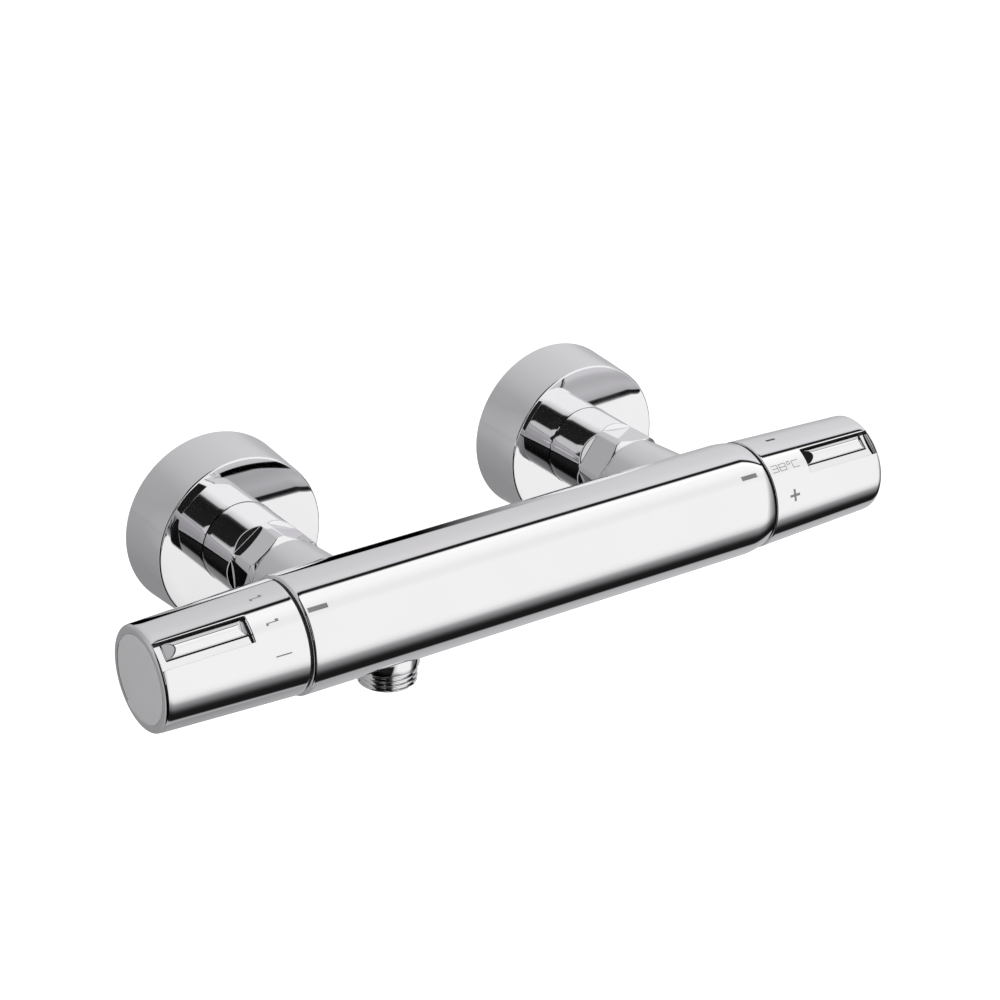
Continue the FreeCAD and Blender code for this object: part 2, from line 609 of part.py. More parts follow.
def make_union_nut(name, side):
    """A round skirt with six milled flats at its closed end and a lip inside."""
    body = new_body(f"{name}_union_nut")
    revolve(body, [
        ("union_thread_radius + running_gap", "nut_start"),
        ("nut_radius - nut_edge", "nut_start"),
        ("nut_radius", "nut_start + nut_edge"),
        ("nut_radius", "nut_end - nut_end_chamfer"),
        ("nut_radius - nut_end_step", "nut_end"),
        ("tail_radius + free_gap", "nut_end"),
        ("tail_radius + free_gap", "nut_end - nut_lip"),
        ("union_thread_radius + running_gap", "nut_end - nut_lip")], "V_Axis")
    sketch = new_sketch(body, "XZ_Plane")
    draw_outline(sketch, [
        ("nut_flats / 2", "nut_flat_start"),
        ("2 * nut_radius - nut_flats / 2", "2 * nut_shoulder - nut_flat_start"),
        ("2 * nut_radius - nut_flats / 2", "nut_end + 1"),
        ("nut_flats / 2", "nut_end + 1")])
    flat = pocket(body, sketch, "2 * nut_radius", both_ways=True)
    polar(body, flat, sketch, "V_Axis", 6)
    place = inlet_frame(side)
    place.Rotation = place.Rotation.multiply(Rotation(Vector(0, 0, 1), size[f"{name}_nut_turn"]))
    keep(f"{name}_union_nut", body, place)


def make_connector(name, side):
    """The eccentric connector: wall thread below, union thread above, one disc between."""
    thread = cylinder(f"{name}_wall_thread", "wall_thread_radius",
                      "wall_thread_length + offset_disc_start + 1")
    bind(thread, Placement__Base__y="-eccentricity", Placement__Base__z="-wall_thread_length")
    disc = cylinder(f"{name}_offset_disc", "offset_disc_radius", "offset_disc_length")
    bind(disc, Placement__Base__y="-eccentricity / 2", Placement__Base__z="offset_disc_start")
    union = cylinder(f"{name}_union_thread", "union_thread_radius", "union_end - offset_disc_start - 1")
    bind(union, Placement__Base__z="offset_disc_start + 1")
    solid = fuse(f"{name}_connector_solid", [thread, disc, union])
    wall_way = cylinder(f"{name}_wall_way", "wall_bore_radius",
                        "wall_thread_length + offset_disc_start + offset_disc_length / 2 + 2")
    bind(wall_way, Placement__Base__y="-eccentricity", Placement__Base__z="-wall_thread_length - 1")
    union_way = cylinder(f"{name}_union_way", "union_bore_radius",
                         "union_end - offset_disc_start - offset_disc_length / 2 + 2")
    bind(union_way, Placement__Base__z="offset_disc_start + offset_disc_length / 2 - 1")
    ways = fuse(f"{name}_connector_ways", [wall_way, union_way])
    keep(f"{name}_connector", cut(f"{name}_connector_cut", solid, ways), inlet_frame(side))


def make_filter_washer(name, side):
    """A rubber washer with a perforated strainer disc across it."""
    washer = turned_on_inlet(f"{name}_filter_washer", [
        ("0", "union_end"),
        ("tail_flange_radius", "union_end"),
        ("tail_flange_radius", f"{TAIL_START}"),
        ("tail_bore_radius", f"{TAIL_START}"),
        ("tail_bore_radius", "union_end + filter_thickness"),
        ("0", "union_end + filter_thickness")], side)
    sketch = new_sketch(washer, "XY_Plane", "union_end")
    draw_circle(sketch, "filter_hole_ring", "0", "filter_hole_radius")
    hole = pocket(washer, sketch, reverse=True)
    polar(washer, hole, sketch, "N_Axis", 8)


def make_tail(name, side):
    """The flanged tail that the nut pulls against the connector."""
    turned_on_inlet(f"{name}_inlet_tail", [
        ("tail_bore_radius", TAIL_START),
        ("tail_flange_radius", TAIL_START),
        ("tail_flange_radius", TAIL_FLANGE_END),
        ("tail_radius", TAIL_FLANGE_END),
        ("tail_radius", f"{TAIL_START} + tail_length"),
        ("tail_bore_radius", f"{TAIL_START} + tail_length")], side)


def make_check_valve(name, side):
    """The non-return valve in the tail: cartridge, poppet and spring."""
    seat = f"({CHECK_START} + check_seat_thickness)"
    guide = f"({CHECK_START} + check_guide_start)"
    housing = turned_on_inlet(f"{name}_check_housing", [
        ("check_seat_radius", CHECK_START),
        ("tail_bore_radius - seat_gap", CHECK_START),
        ("tail_bore_radius - seat_gap", f"{CHECK_START} + check_length"),
        ("check_bore_radius", f"{CHECK_START} + check_length"),
        ("check_bore_radius", f"{guide} + check_guide_thickness"),
        ("poppet_stem_radius + running_gap", f"{guide} + check_guide_thickness"),
        ("poppet_stem_radius + running_gap", guide),
        ("check_bore_radius", guide),
        ("check_bore_radius", seat),
        ("check_seat_radius", seat)], side)
    sketch = new_sketch(housing, "XY_Plane", guide)
    draw_circle(sketch, "check_guide_ring", "0", "check_guide_holes")
    hole = pocket(housing, sketch, reverse=True)
    polar(housing, hole, sketch, "N_Axis", 6)
    turned_on_inlet(f"{name}_check_poppet", [
        ("0", f"{seat} + seat_gap"),
        ("poppet_radius", f"{seat} + seat_gap"),
        ("poppet_radius", f"{seat} + poppet_thickness"),
        ("poppet_stem_radius", f"{seat} + poppet_thickness"),
        ("poppet_stem_radius", f"{seat} + poppet_stem_length"),
        ("0", f"{seat} + poppet_stem_length")], side)
    base = size["union_end"] + size["washer_thickness"] + size["cap_thickness"]
    low = base + size["check_seat_thickness"] + size["poppet_thickness"] + size["seat_gap"]
    high = base + size["check_guide_start"] - size["seat_gap"]
    place = inlet_frame(side).multiply(FreeCAD.Placement(Vector(0, 0, low), Rotation()))
    coil(f"{name}_check_spring", size["check_spring_radius"], size["check_spring_wire"], high - low, place)


# ---------------------------------------------------------------- handles

def surface_at(station):
    """Radius of the handle at a distance from its root."""
    return f"(handle_root_radius - (handle_root_radius - handle_tip_radius) * ({station}) / handle_length)"


def make_handle(name, side):
    """A tapered shell with a rounded tip, a recess in line with the index and a button window."""
    body = new_body(f"{name}_handle")
    shell = revolve(body, [
        (HANDLE_ROOT, "handle_bore"),
        (HANDLE_ROOT, "handle_root_radius - handle_root_edge"),
        (f"{HANDLE_ROOT} + handle_root_edge", "handle_root_radius"),
        (HANDLE_TIP, "handle_tip_radius"),
        (HANDLE_TIP, "cap_radius + cap_gap"),
        (f"{CAP_BACK} - cap_gap", "cap_radius + cap_gap"),
        (f"{CAP_BACK} - cap_gap", "handle_bore")], "H_Axis")
    doc.recompute()
    tip = size["bar_end"] + size["end_gap"] + size["handle_length"]
    fillet(body, ring_edges(shell, tip, size["handle_tip_radius"]), "handle_tip_round", shell)

    recess = new_sketch(body, "XY_Plane", f"{surface_at('0')} - recess_depth")
    bind(recess, AttachmentOffset__Base__x=HANDLE_ROOT)
    recess.AttachmentOffset = FreeCAD.Placement(recess.AttachmentOffset.Base, Rotation(Vector(0, 1, 0), 1))
    bind(recess, AttachmentOffset__Rotation__Angle=HANDLE_SLOPE)
    draw_rectangle(recess, "recess_start", "recess_end", "-recess_half_width", "recess_half_width")
    pocket(body, recess, "recess_depth * 3", reverse=True)

    window = new_sketch(body, "XY_Plane")
    draw_rectangle(window,
                   f"{HANDLE_ROOT} + button_start - button_gap",
                   f"{HANDLE_ROOT} + button_start + button_length + button_gap",
                   "-button_half_width - button_gap", "button_half_width + button_gap")
    pocket(body, window, reverse=True)
    keep(f"{name}_handle", body, bar_frame(side))


def make_cap(name, side):
    """The flat disc that closes the handle, with a plug into the carrier."""
    turned_on_bar(f"{name}_handle_cap", [
        (f"{CAP_BACK} - cap_stem_length", "0"),
        (f"{CAP_BACK} - cap_stem_length", "carrier_tube_bore - seat_gap"),
        (CAP_BACK, "carrier_tube_bore - seat_gap"),
        (CAP_BACK, "cap_radius"),
        (f"{HANDLE_TIP} - cap_edge", "cap_radius"),
        (HANDLE_TIP, "cap_radius - cap_edge"),
        (HANDLE_TIP, "0")], side)


def make_carrier(name, side):
    """The plastic core of the handle: it sits on the spindle and carries shell and button."""
    body = new_body(f"{name}_carrier")
    revolve(body, [
        ("carrier_start", "spindle_radius + seat_gap"),
        ("carrier_start", "carrier_hub_radius"),
        ("carrier_disc_start", "carrier_hub_radius"),
        ("carrier_disc_start", "handle_bore - seat_gap"),
        ("carrier_disc_start + carrier_disc_length", "handle_bore - seat_gap"),
        ("carrier_disc_start + carrier_disc_length", "carrier_tube_radius"),
        (CARRIER_TIP_DISC, "carrier_tube_radius"),
        (CARRIER_TIP_DISC, "handle_bore - seat_gap"),
        (CARRIER_END, "handle_bore - seat_gap"),
        (CARRIER_END, "carrier_tube_bore"),
        (CARRIER_WEB_END, "carrier_tube_bore"),
        (CARRIER_WEB_END, "screw_radius + seat_gap"),
        ("spindle_tip + free_gap", "screw_radius + seat_gap"),
        ("spindle_tip + free_gap", "spindle_radius + seat_gap")], "H_Axis")
    sketch = new_sketch(body, "XY_Plane", "spring_pocket_floor")
    draw_circle(sketch, f"{HANDLE_ROOT} + button_start + button_length / 2", "0", "spring_pocket_radius")
    pocket(body, sketch, reverse=True)
    lug = sector(f"{name}_carrier_lug", f"bar_end + stop_ring_thickness + 2 * free_gap",
                 f"carrier_disc_start - bar_end - stop_ring_thickness - 2 * free_gap + 1",
                 "stop_inner_radius", "stop_outer_radius", -size["stop_half_angle"], "2 * stop_half_angle")
    keep(f"{name}_carrier", fuse(f"{name}_carrier_fuse", [body, lug]), bar_frame(side))


def make_screw(name, side):
    """The screw that holds the carrier on its spindle."""
    turned_on_bar(f"{name}_handle_screw", [
        (f"{CARRIER_WEB_END} - screw_length", "0"),
        (f"{CARRIER_WEB_END} - screw_length", "screw_radius"),
        (CARRIER_WEB_END, "screw_radius"),
        (CARRIER_WEB_END, "screw_head_radius"),
        (f"{CARRIER_WEB_END} + screw_head_length", "screw_head_radius"),
        (f"{CARRIER_WEB_END} + screw_head_length", "screw_socket_radius"),
        (f"{CARRIER_WEB_END} + screw_head_length / 3", "screw_socket_radius"),
        (f"{CARRIER_WEB_END} + screw_head_length / 3", "0")], side)


def make_button(name, side):
    """A crowned bar with sloping ends, in the handle's window, with a flange that retains it."""
    start = f"({HANDLE_ROOT} + button_start)"
    end = f"({HANDLE_ROOT} + button_start + button_length)"
    stem = box(f"{name}_button_stem", start, "-button_half_width",
               "button_flange_top - button_flange_thickness / 2",
               "button_length", "2 * button_half_width", "2 * button_crown_radius")
    crown = cylinder(f"{name}_button_crown", "button_crown_radius", "button_length + 4")
    crown_top = f"{surface_at('button_start - 2')} - recess_depth + button_rise"
    crown.Placement = FreeCAD.Placement(Vector(0, 0, 0), Rotation(Vector(0, 1, 0), 90))
    bind(crown, Placement__Rotation__Angle=f"90 deg + {HANDLE_SLOPE}", Placement__Base__x=f"{start} - 2",
         Placement__Base__z=f"{crown_top} - button_crown_radius")
    bar = common(f"{name}_button_bar", stem, crown)
    bevels = []
    for part, station, at, sign, back in (
            ("outer", end, "button_start + button_length", "", "bevel_inwards"),
            ("inner", start, "button_start", "-", "bevel_outwards")):
        bevel = box(f"{name}_button_{part}_bevel", "0", "-2 * button_half_width", "0",
                    "bevel_inwards + bevel_outwards", "4 * button_half_width", "bevel_height")
        bevel.Placement = FreeCAD.Placement(Vector(0, 0, 0), Rotation(Vector(0, 1, 0), 1))
        up = "+" if part == "outer" else "-"
        foot = f"{surface_at(at)} - recess_depth + button_slope_foot"
        bind(bevel, Placement__Base__x=f"{station} - {back} * cos(button_slope * 1 deg)",
             Placement__Base__z=f"{foot} {up} {back} * sin(button_slope * 1 deg)",
             Placement__Base__y="-2 * button_half_width",
             Placement__Rotation__Angle=f"{sign}button_slope * 1 deg")
        bevels.append(bevel)
    shaped = cut(f"{name}_button_shaped", bar, fuse(f"{name}_button_bevels", bevels))
    flange = box(f"{name}_button_flange", f"{start} - button_flange_margin",
                 "-button_half_width - button_flange_margin", "button_flange_top - button_flange_thickness",
                 "button_length + 2 * button_flange_margin",
                 "2 * button_half_width + 2 * button_flange_margin", "button_flange_thickness")
    keep(f"{name}_button", fuse(f"{name}_button_fuse", [shaped, flange]), bar_frame(side))
    middle = size["bar_end"] + size["end_gap"] + size["button_start"] + size["button_length"] / 2
    low = size["spring_pocket_floor"] + size["seat_gap"]
    high = size["button_flange_top"] - size["button_flange_thickness"] - size["seat_gap"]
    place = bar_frame(side).multiply(FreeCAD.Placement(Vector(middle, 0, low), Rotation()))
    coil(f"{name}_button_spring", size["button_spring_radius"], size["button_spring_wire"],
         high - low, place)


def make_stop_ring(name, side, neck):
    """The dark ring between bar and handle, with the fixed lug that ends the handle's travel."""
    disc = new_body(f"{name}_stop_disc")
    revolve(disc, [
        (f"bar_end - stop_hub_depth", f"{neck} + seat_gap"),
        (f"bar_end - stop_hub_depth", "flow_counterbore - free_gap"),
        (f"bar_end + seat_gap", "flow_counterbore - free_gap"),
        (f"bar_end + seat_gap", "stop_ring_radius"),
        (f"bar_end + stop_ring_thickness", "stop_ring_radius"),
        (f"bar_end + stop_ring_thickness", f"{neck} + seat_gap")], "H_Axis")
    if name == "flow":
        back, forth = "flow_travel", "flow_travel"
    else:
        back, forth = "temp_hot_travel", "temp_cold_travel"
    spare = "(stop_half_angle + stop_clearance)"
    first_angle = size[forth] + size["stop_half_angle"] + size["stop_clearance"]
    lug = sector(f"{name}_stop_lug", f"bar_end + seat_gap", "stop_lug_length",
                 "stop_inner_radius", "stop_outer_radius", first_angle,
                 f"360 - {back} - {forth} - 2 * {spare}")
    keep(f"{name}_stop_ring", fuse(f"{name}_stop_fuse", [disc, lug]), bar_frame(side))


def make_retaining_nut(name, side, neck, counterbore):
    """The threaded ring, with spanner notches, that holds a cartridge in the bar."""
    start = f"{COUNTERBORE} + cartridge_flange + seat_gap"
    ring = turned_on_bar(f"{name}_retaining_nut", [
        (start, f"{neck} + seat_gap"),
        (NUT_END, f"{neck} + seat_gap"),
        (NUT_END, f"{counterbore} - seat_gap"),
        (start, f"{counterbore} - seat_gap")], side)
    sketch = new_sketch(ring, "XZ_Plane")
    draw_rectangle(sketch, f"{NUT_END} - 2", f"{NUT_END} + 1",
                   f"{counterbore} - nut_notch", f"{counterbore} + 1")
    notch = pocket(ring, sketch, "nut_notch", both_ways=True)
    polar(ring, notch, sketch, "H_Axis", 4)


# ---------------------------------------------------------------- the flow cartridge

FIXED_DISC = "(flow_bore_floor + flow_seal_thickness)"
MOVING_DISC = f"({FIXED_DISC} + disc_thickness + running_gap)"
DRIVER = f"({MOVING_DISC} + disc_thickness + running_gap)"
DRIVER_END = f"({DRIVER} + driver_thickness)"
# The moving disc stands half open, in degrees from the fixed disc
MOVING_TURN = 45


def windowed_disc(node, start, thickness, radius, first_angle):
    """A disc with two opposite windows, which pass water when they line up."""
    disc = along_bar(cylinder(f"{node}_blank", radius, thickness), start)
    windows = [sector(f"{node}_window_{i}", f"{start} - 1", f"{thickness} + 2", "disc_window_inner",
                      "disc_window_outer", first_angle + 180 * i, "disc_window_angle") for i in range(2)]
    return cut(f"{node}_cut", disc, fuse(f"{node}_windows", windows))


def make_flow_cartridge(side):
    """Seal, two ceramic discs, housing and spindle of the quarter-turn flow valve."""
    turned_on_bar("flow_seal", [
        ("flow_bore_floor + seat_gap", "flow_seal_inner"),
        (f"{FIXED_DISC} - seat_gap", "flow_seal_inner"),
        (f"{FIXED_DISC} - seat_gap", "disc_radius"),
        ("flow_bore_floor + seat_gap", "disc_radius")], side)
    keep("flow_fixed_disc",
         windowed_disc("flow_fixed_disc", FIXED_DISC, "disc_thickness", "disc_radius", 0), bar_frame(side))
    keep("flow_moving_disc",
         windowed_disc("flow_moving_disc", MOVING_DISC, "disc_thickness", "disc_radius", MOVING_TURN),
         bar_frame(side))

    housing = new_body("flow_housing")
    revolve(housing, [
        (FIXED_DISC, "flow_chamber_radius"),
        (FIXED_DISC, "flow_bore_radius - seat_gap"),
        (COUNTERBORE, "flow_bore_radius - seat_gap"),
        (COUNTERBORE, "flow_counterbore - seat_gap"),
        (f"{COUNTERBORE} + cartridge_flange", "flow_counterbore - seat_gap"),
        (f"{COUNTERBORE} + cartridge_flange", "flow_neck_radius"),
        ("neck_end", "flow_neck_radius"),
        ("neck_end", "spindle_radius + running_gap"),
        (f"{DRIVER_END} + free_gap", "spindle_radius + running_gap"),
        (f"{DRIVER_END} + free_gap", "flow_chamber_radius")], "H_Axis")
    for plane in ("XZ_Plane", "XY_Plane"):
        sketch = new_sketch(housing, plane)
        draw_rectangle(sketch, DRIVER, f"{DRIVER_END} - 1",
                       "-flow_window_width / 2", "flow_window_width / 2")
        pocket(housing, sketch, "4 * flow_bore_radius", both_ways=True)
    keep("flow_housing", housing, bar_frame(side, level=True))

    driver = windowed_disc("flow_driver", DRIVER, "driver_thickness", "driver_radius", MOVING_TURN)
    shaft = new_body("flow_shaft")
    revolve(shaft, [
        (f"{DRIVER_END} - 1", "0"),
        (f"{DRIVER_END} - 1", "spindle_radius"),
        ("spindle_tip", "spindle_radius"),
        ("spindle_tip", "screw_radius + seat_gap"),
        ("spindle_tip - tapped_depth", "screw_radius + seat_gap"),
        ("spindle_tip - tapped_depth", "0")], "H_Axis")
    keep("flow_spindle", fuse("flow_spindle_fuse", [driver, shaft]), bar_frame(side))


# ---------------------------------------------------------------- the thermostatic cartridge

RINGS = (("(temp_bore_floor + 1.5 * ring_groove)", "temp_pilot_radius"),
         ("(hot_port + port_length / 2 + ring_groove)", "temp_bore_radius"),
         ("(cold_port + port_length + ring_groove)", "temp_bore_radius"))
COLLAR_END = "thrust_collar_end"
COLLAR_START = "(thrust_collar_end - thrust_collar_length)"
SHUTTLE_WEB = "(shuttle_start + shuttle_length / 2 - shuttle_web / 2)"


def make_thermo_housing(side):
    """The cartridge's sleeve, with seal grooves, hot and cold ports and a neck for the spindle."""
    pilot = "temp_pilot_radius - seat_gap"
    outer = "temp_bore_radius - seat_gap"
    grooves = [[(station, f"{bore} - seat_gap"), (station, f"{bore} - ring_depth - seat_gap"),
                (f"{station} + ring_groove", f"{bore} - ring_depth - seat_gap"),
                (f"{station} + ring_groove", f"{bore} - seat_gap")] for station, bore in RINGS]
    corners = [("temp_bore_floor + seat_gap", "temp_lip_radius"), ("temp_bore_floor + seat_gap", pilot)]
    corners += grooves[0]
    corners += [("temp_pilot_end + seat_gap", pilot), ("temp_pilot_end + seat_gap", outer)]
    corners += grooves[1] + grooves[2]
    corners += [
        (COUNTERBORE, outer),
        (COUNTERBORE, "temp_counterbore - seat_gap"),
        (f"{COUNTERBORE} + cartridge_flange", "temp_counterbore - seat_gap"),
        (f"{COUNTERBORE} + cartridge_flange", "temp_neck_radius"),
        ("neck_end", "temp_neck_radius"),
        ("neck_end", "spindle_radius + running_gap"),
        (f"{COLLAR_END} + free_gap", "spindle_radius + running_gap"),
        (f"{COLLAR_END} + free_gap", "temp_chamber_radius"),
        ("temp_pilot_end + temp_wall_lip / 2", "temp_chamber_radius"),
        ("temp_pilot_end + temp_wall_lip / 2", "temp_pilot_bore"),
        ("temp_bore_floor + temp_wall_lip", "temp_pilot_bore"),
        ("temp_bore_floor + temp_wall_lip", "temp_lip_radius")]
    housing = turned_on_bar("thermo_housing", corners, side, level=True)
    for port in ("hot_port", "cold_port"):
        for plane in ("XZ_Plane", "XY_Plane"):
            sketch = new_sketch(housing, plane)
            draw_rectangle(sketch, f"{port} - port_length / 2", f"{port} + port_length / 2",
                           "-port_width / 2", "port_width / 2")
            pocket(housing, sketch, "4 * temp_bore_radius", both_ways=True)


def make_thermo_seals(side):
    """Three rubber rings in the sleeve's grooves, which keep hot, cold and mixed water apart."""
    rings = []
    for index, (station, bore) in enumerate(RINGS):
        ring = new_body(f"thermo_seal_{index}")
        revolve(ring, [
            (f"{station} + seat_gap", f"{bore} - ring_depth"),
            (f"{station} + ring_groove - seat_gap", f"{bore} - ring_depth"),
            (f"{station} + ring_groove - seat_gap", f"{bore} - running_gap / 2"),
            (f"{station} + seat_gap", f"{bore} - running_gap / 2")], "H_Axis")
        rings.append(ring)
    group = doc.addObject("Part::Compound", "thermo_seal_group")
    group.Links = rings
    keep("thermo_seals", group, bar_frame(side))


def make_temp_spindle(side):
    """The spindle whose regulating thread drives the nut in and out."""
    turned_on_bar("temp_spindle", [
        (f"{COLLAR_START} - regulating_length", "0"),
        (f"{COLLAR_START} - regulating_length", "regulating_radius"),
        (COLLAR_START, "regulating_radius"),
        (COLLAR_START, "thrust_collar_radius"),
        (COLLAR_END, "thrust_collar_radius"),
        (COLLAR_END, "spindle_radius"),
        ("spindle_tip", "spindle_radius"),
        ("spindle_tip", "screw_radius + seat_gap"),
        ("spindle_tip - tapped_depth", "screw_radius + seat_gap"),
        ("spindle_tip - tapped_depth", "0")], side)


def make_regulator(side):
    """The sliding group: regulating nut, wax element and the shuttle that meters the water."""
    nut = new_body("regulating_nut")
    revolve(nut, [
        ("regulating_nut_start", "0"),
        ("regulating_nut_start", "regulating_nut_radius"),
        ("regulating_nut_start + regulating_nut_length", "regulating_nut_radius"),
        ("regulating_nut_start + regulating_nut_length", "regulating_radius + running_gap"),
        ("regulating_nut_start + regulating_nut_wall", "regulating_radius + running_gap"),
        ("regulating_nut_start + regulating_nut_wall", "0")], "H_Axis")
    sketch = new_sketch(nut, "YZ_Plane", "regulating_nut_start")
    draw_rectangle(sketch, "-regulating_key_width / 2", "regulating_key_width / 2",
                   "-temp_chamber_radius + free_gap", "temp_chamber_radius - free_gap")
    key = nut.newObject("PartDesign::Pad", "regulating_key")
    key.Profile = sketch
    bind(key, Length="regulating_nut_wall")
    keep("regulating_nut", nut, bar_frame(side))

    pin = "regulating_nut_start - seat_gap"
    turned_on_bar("wax_element", [
        (f"{pin} - element_pin_length - element_length", "0"),
        (f"{pin} - element_pin_length - element_length", "element_radius - 1"),
        (f"{pin} - element_pin_length - element_length + 1", "element_radius"),
        (f"{pin} - element_pin_length", "element_radius"),
        (f"{pin} - element_pin_length", "element_pin_radius"),
        (pin, "element_pin_radius"),
        (pin, "0")], side)

    hub = "element_radius + seat_gap"
    rim = "temp_chamber_radius - running_gap"
    shuttle = turned_on_bar("thermo_shuttle", [
        (f"{SHUTTLE_WEB} - shuttle_web", hub),
        (f"{SHUTTLE_WEB} - shuttle_web", "shuttle_hub_radius"),
        (SHUTTLE_WEB, "shuttle_hub_radius"),
        (SHUTTLE_WEB, f"{rim} - shuttle_rim"),
        ("shuttle_start", f"{rim} - shuttle_rim"),
        ("shuttle_start", rim),
        ("shuttle_start + shuttle_length", rim),
        ("shuttle_start + shuttle_length", f"{rim} - shuttle_rim"),
        (f"{SHUTTLE_WEB} + shuttle_web", f"{rim} - shuttle_rim"),
        (f"{SHUTTLE_WEB} + shuttle_web", hub)], side)
    sketch = new_sketch(shuttle, "YZ_Plane")
    draw_circle(sketch, "shuttle_hole_ring", "0", "shuttle_hole_radius")
    hole = pocket(shuttle, sketch, reverse=True)
    polar(shuttle, hole, sketch, "N_Axis", 6)


def make_thermo_spring(side):
    """The spring that returns the shuttle against the wax element."""
    low = size["temp_bore_floor"] + size["temp_wall_lip"] + size["seat_gap"]
    web = size["shuttle_start"] + size["shuttle_length"] / 2 - size["shuttle_web"] / 2
    place = bar_frame(side).multiply(FreeCAD.Placement(Vector(low, 0, 0), Rotation(Vector(0, 1, 0), 90)))
    coil("thermo_spring", size["temp_spring_radius"], size["temp_spring_wire"],
         web - size["seat_gap"] - low, place)


# ---------------------------------------------------------------- the whole valve

FLOW, TEMP = -1, 1
HOT, COLD = -1, 1

make_bar()
make_outlet()
for inlet, inlet_side in (("hot", HOT), ("cold", COLD)):
    make_rosette(inlet, inlet_side)
    make_union_nut(inlet, inlet_side)
    make_connector(inlet, inlet_side)
    make_filter_washer(inlet, inlet_side)
    make_tail(inlet, inlet_side)
    make_check_valve(inlet, inlet_side)
for end, end_side, neck_size, nut_size in (("flow", FLOW, "flow_neck_radius", "flow_counterbore"),
                                           ("temp", TEMP, "temp_neck_radius", "temp_counterbore")):
    make_handle(end, end_side)
    make_cap(end, end_side)
    make_carrier(end, end_side)
    make_screw(end, end_side)
    make_button(end, end_side)
    make_stop_ring(end, end_side, neck_size)
    make_retaining_nut(end, end_side, neck_size, nut_size)
make_flow_cartridge(FLOW)
make_thermo_housing(TEMP)
make_thermo_seals(TEMP)
make_temp_spindle(TEMP)
make_regulator(TEMP)
make_thermo_spring(TEMP)
doc.recompute()

# ---------------------------------------------------------------- checks and export

for item in doc.Objects:
    if "Invalid" in item.State or "Error" in item.State:
        raise RuntimeError(f"{item.Name} failed: {item.State}")
for feature, base in cuts:
    if base.Shape.Volume - feature.Shape.Volume < 0.5:
        raise RuntimeError(f"{feature.Name} cuts nothing")
os.makedirs("parts", exist_ok=True)
for node, item in nodes.items():
    shape = item.Shape
    if shape.isNull() or not shape.isValid():
        raise RuntimeError(f"{node} is not a valid shape")
    shape.exportStep(f"parts/{node}.step")
    print(node, len(shape.Solids), round(shape.Volume, 1))
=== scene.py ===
"""Visible surfaces, finishes and studio of a thermostatic shower valve, over its CAD frame.

Lengths inside the shape functions are millimetres; X runs along the bar, Y into the wall, Z up.
"""
import math
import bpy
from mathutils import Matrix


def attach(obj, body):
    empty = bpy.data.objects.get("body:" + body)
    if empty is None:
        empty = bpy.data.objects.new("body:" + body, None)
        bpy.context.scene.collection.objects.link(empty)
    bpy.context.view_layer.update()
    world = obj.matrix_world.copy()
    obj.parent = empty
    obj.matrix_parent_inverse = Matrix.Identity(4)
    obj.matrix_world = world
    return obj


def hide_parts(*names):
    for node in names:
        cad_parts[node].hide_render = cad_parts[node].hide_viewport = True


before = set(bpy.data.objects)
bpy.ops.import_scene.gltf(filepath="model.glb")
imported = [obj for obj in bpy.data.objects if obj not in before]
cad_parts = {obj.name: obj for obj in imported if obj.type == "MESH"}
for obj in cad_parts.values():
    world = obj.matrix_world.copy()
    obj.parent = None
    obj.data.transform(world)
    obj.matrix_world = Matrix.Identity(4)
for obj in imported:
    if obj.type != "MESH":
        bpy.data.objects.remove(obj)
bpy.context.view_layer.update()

from types import SimpleNamespace

import bmesh
import bpy
import numpy as np
from bpy.props import FloatProperty, FloatVectorProperty, PointerProperty
from mathutils import Matrix

bl_info = {
    "name": "Thermostatic shower valve",
    "version": (1, 0, 0),
    "blender": (4, 5, 0),
    "location": "View3D > Sidebar > Valve",
    "description": "Builds the surfaces, finishes and stage of a bar shower valve over its frame",
    "category": "Add Mesh",
}

MM = 0.001
SIDES = (("flow", -1), ("temp", 1))
INLETS = (("hot", -1), ("cold", 1))
RIM_STEPS = np.array([0, 0.1, 0.3, 0.6, 1.0])
WINDOW_GAP = 0.15


# ---------------------------------------------------------------- sizes and colours

def length(name, description, millimetres):
    return FloatProperty(name=name, description=description, default=millimetres * MM, min=0.0,
                         unit="LENGTH", subtype="DISTANCE", precision=5)


def angle(name, description, degrees):
    return FloatProperty(name=name, description=description, default=math.radians(degrees),
                         unit="ROTATION", subtype="ANGLE")


def colour(name, description, red, green, blue):
    return FloatVectorProperty(name=name, description=description, default=(red, green, blue, 1.0),
                               size=4, min=0.0, max=1.0, subtype="COLOR")


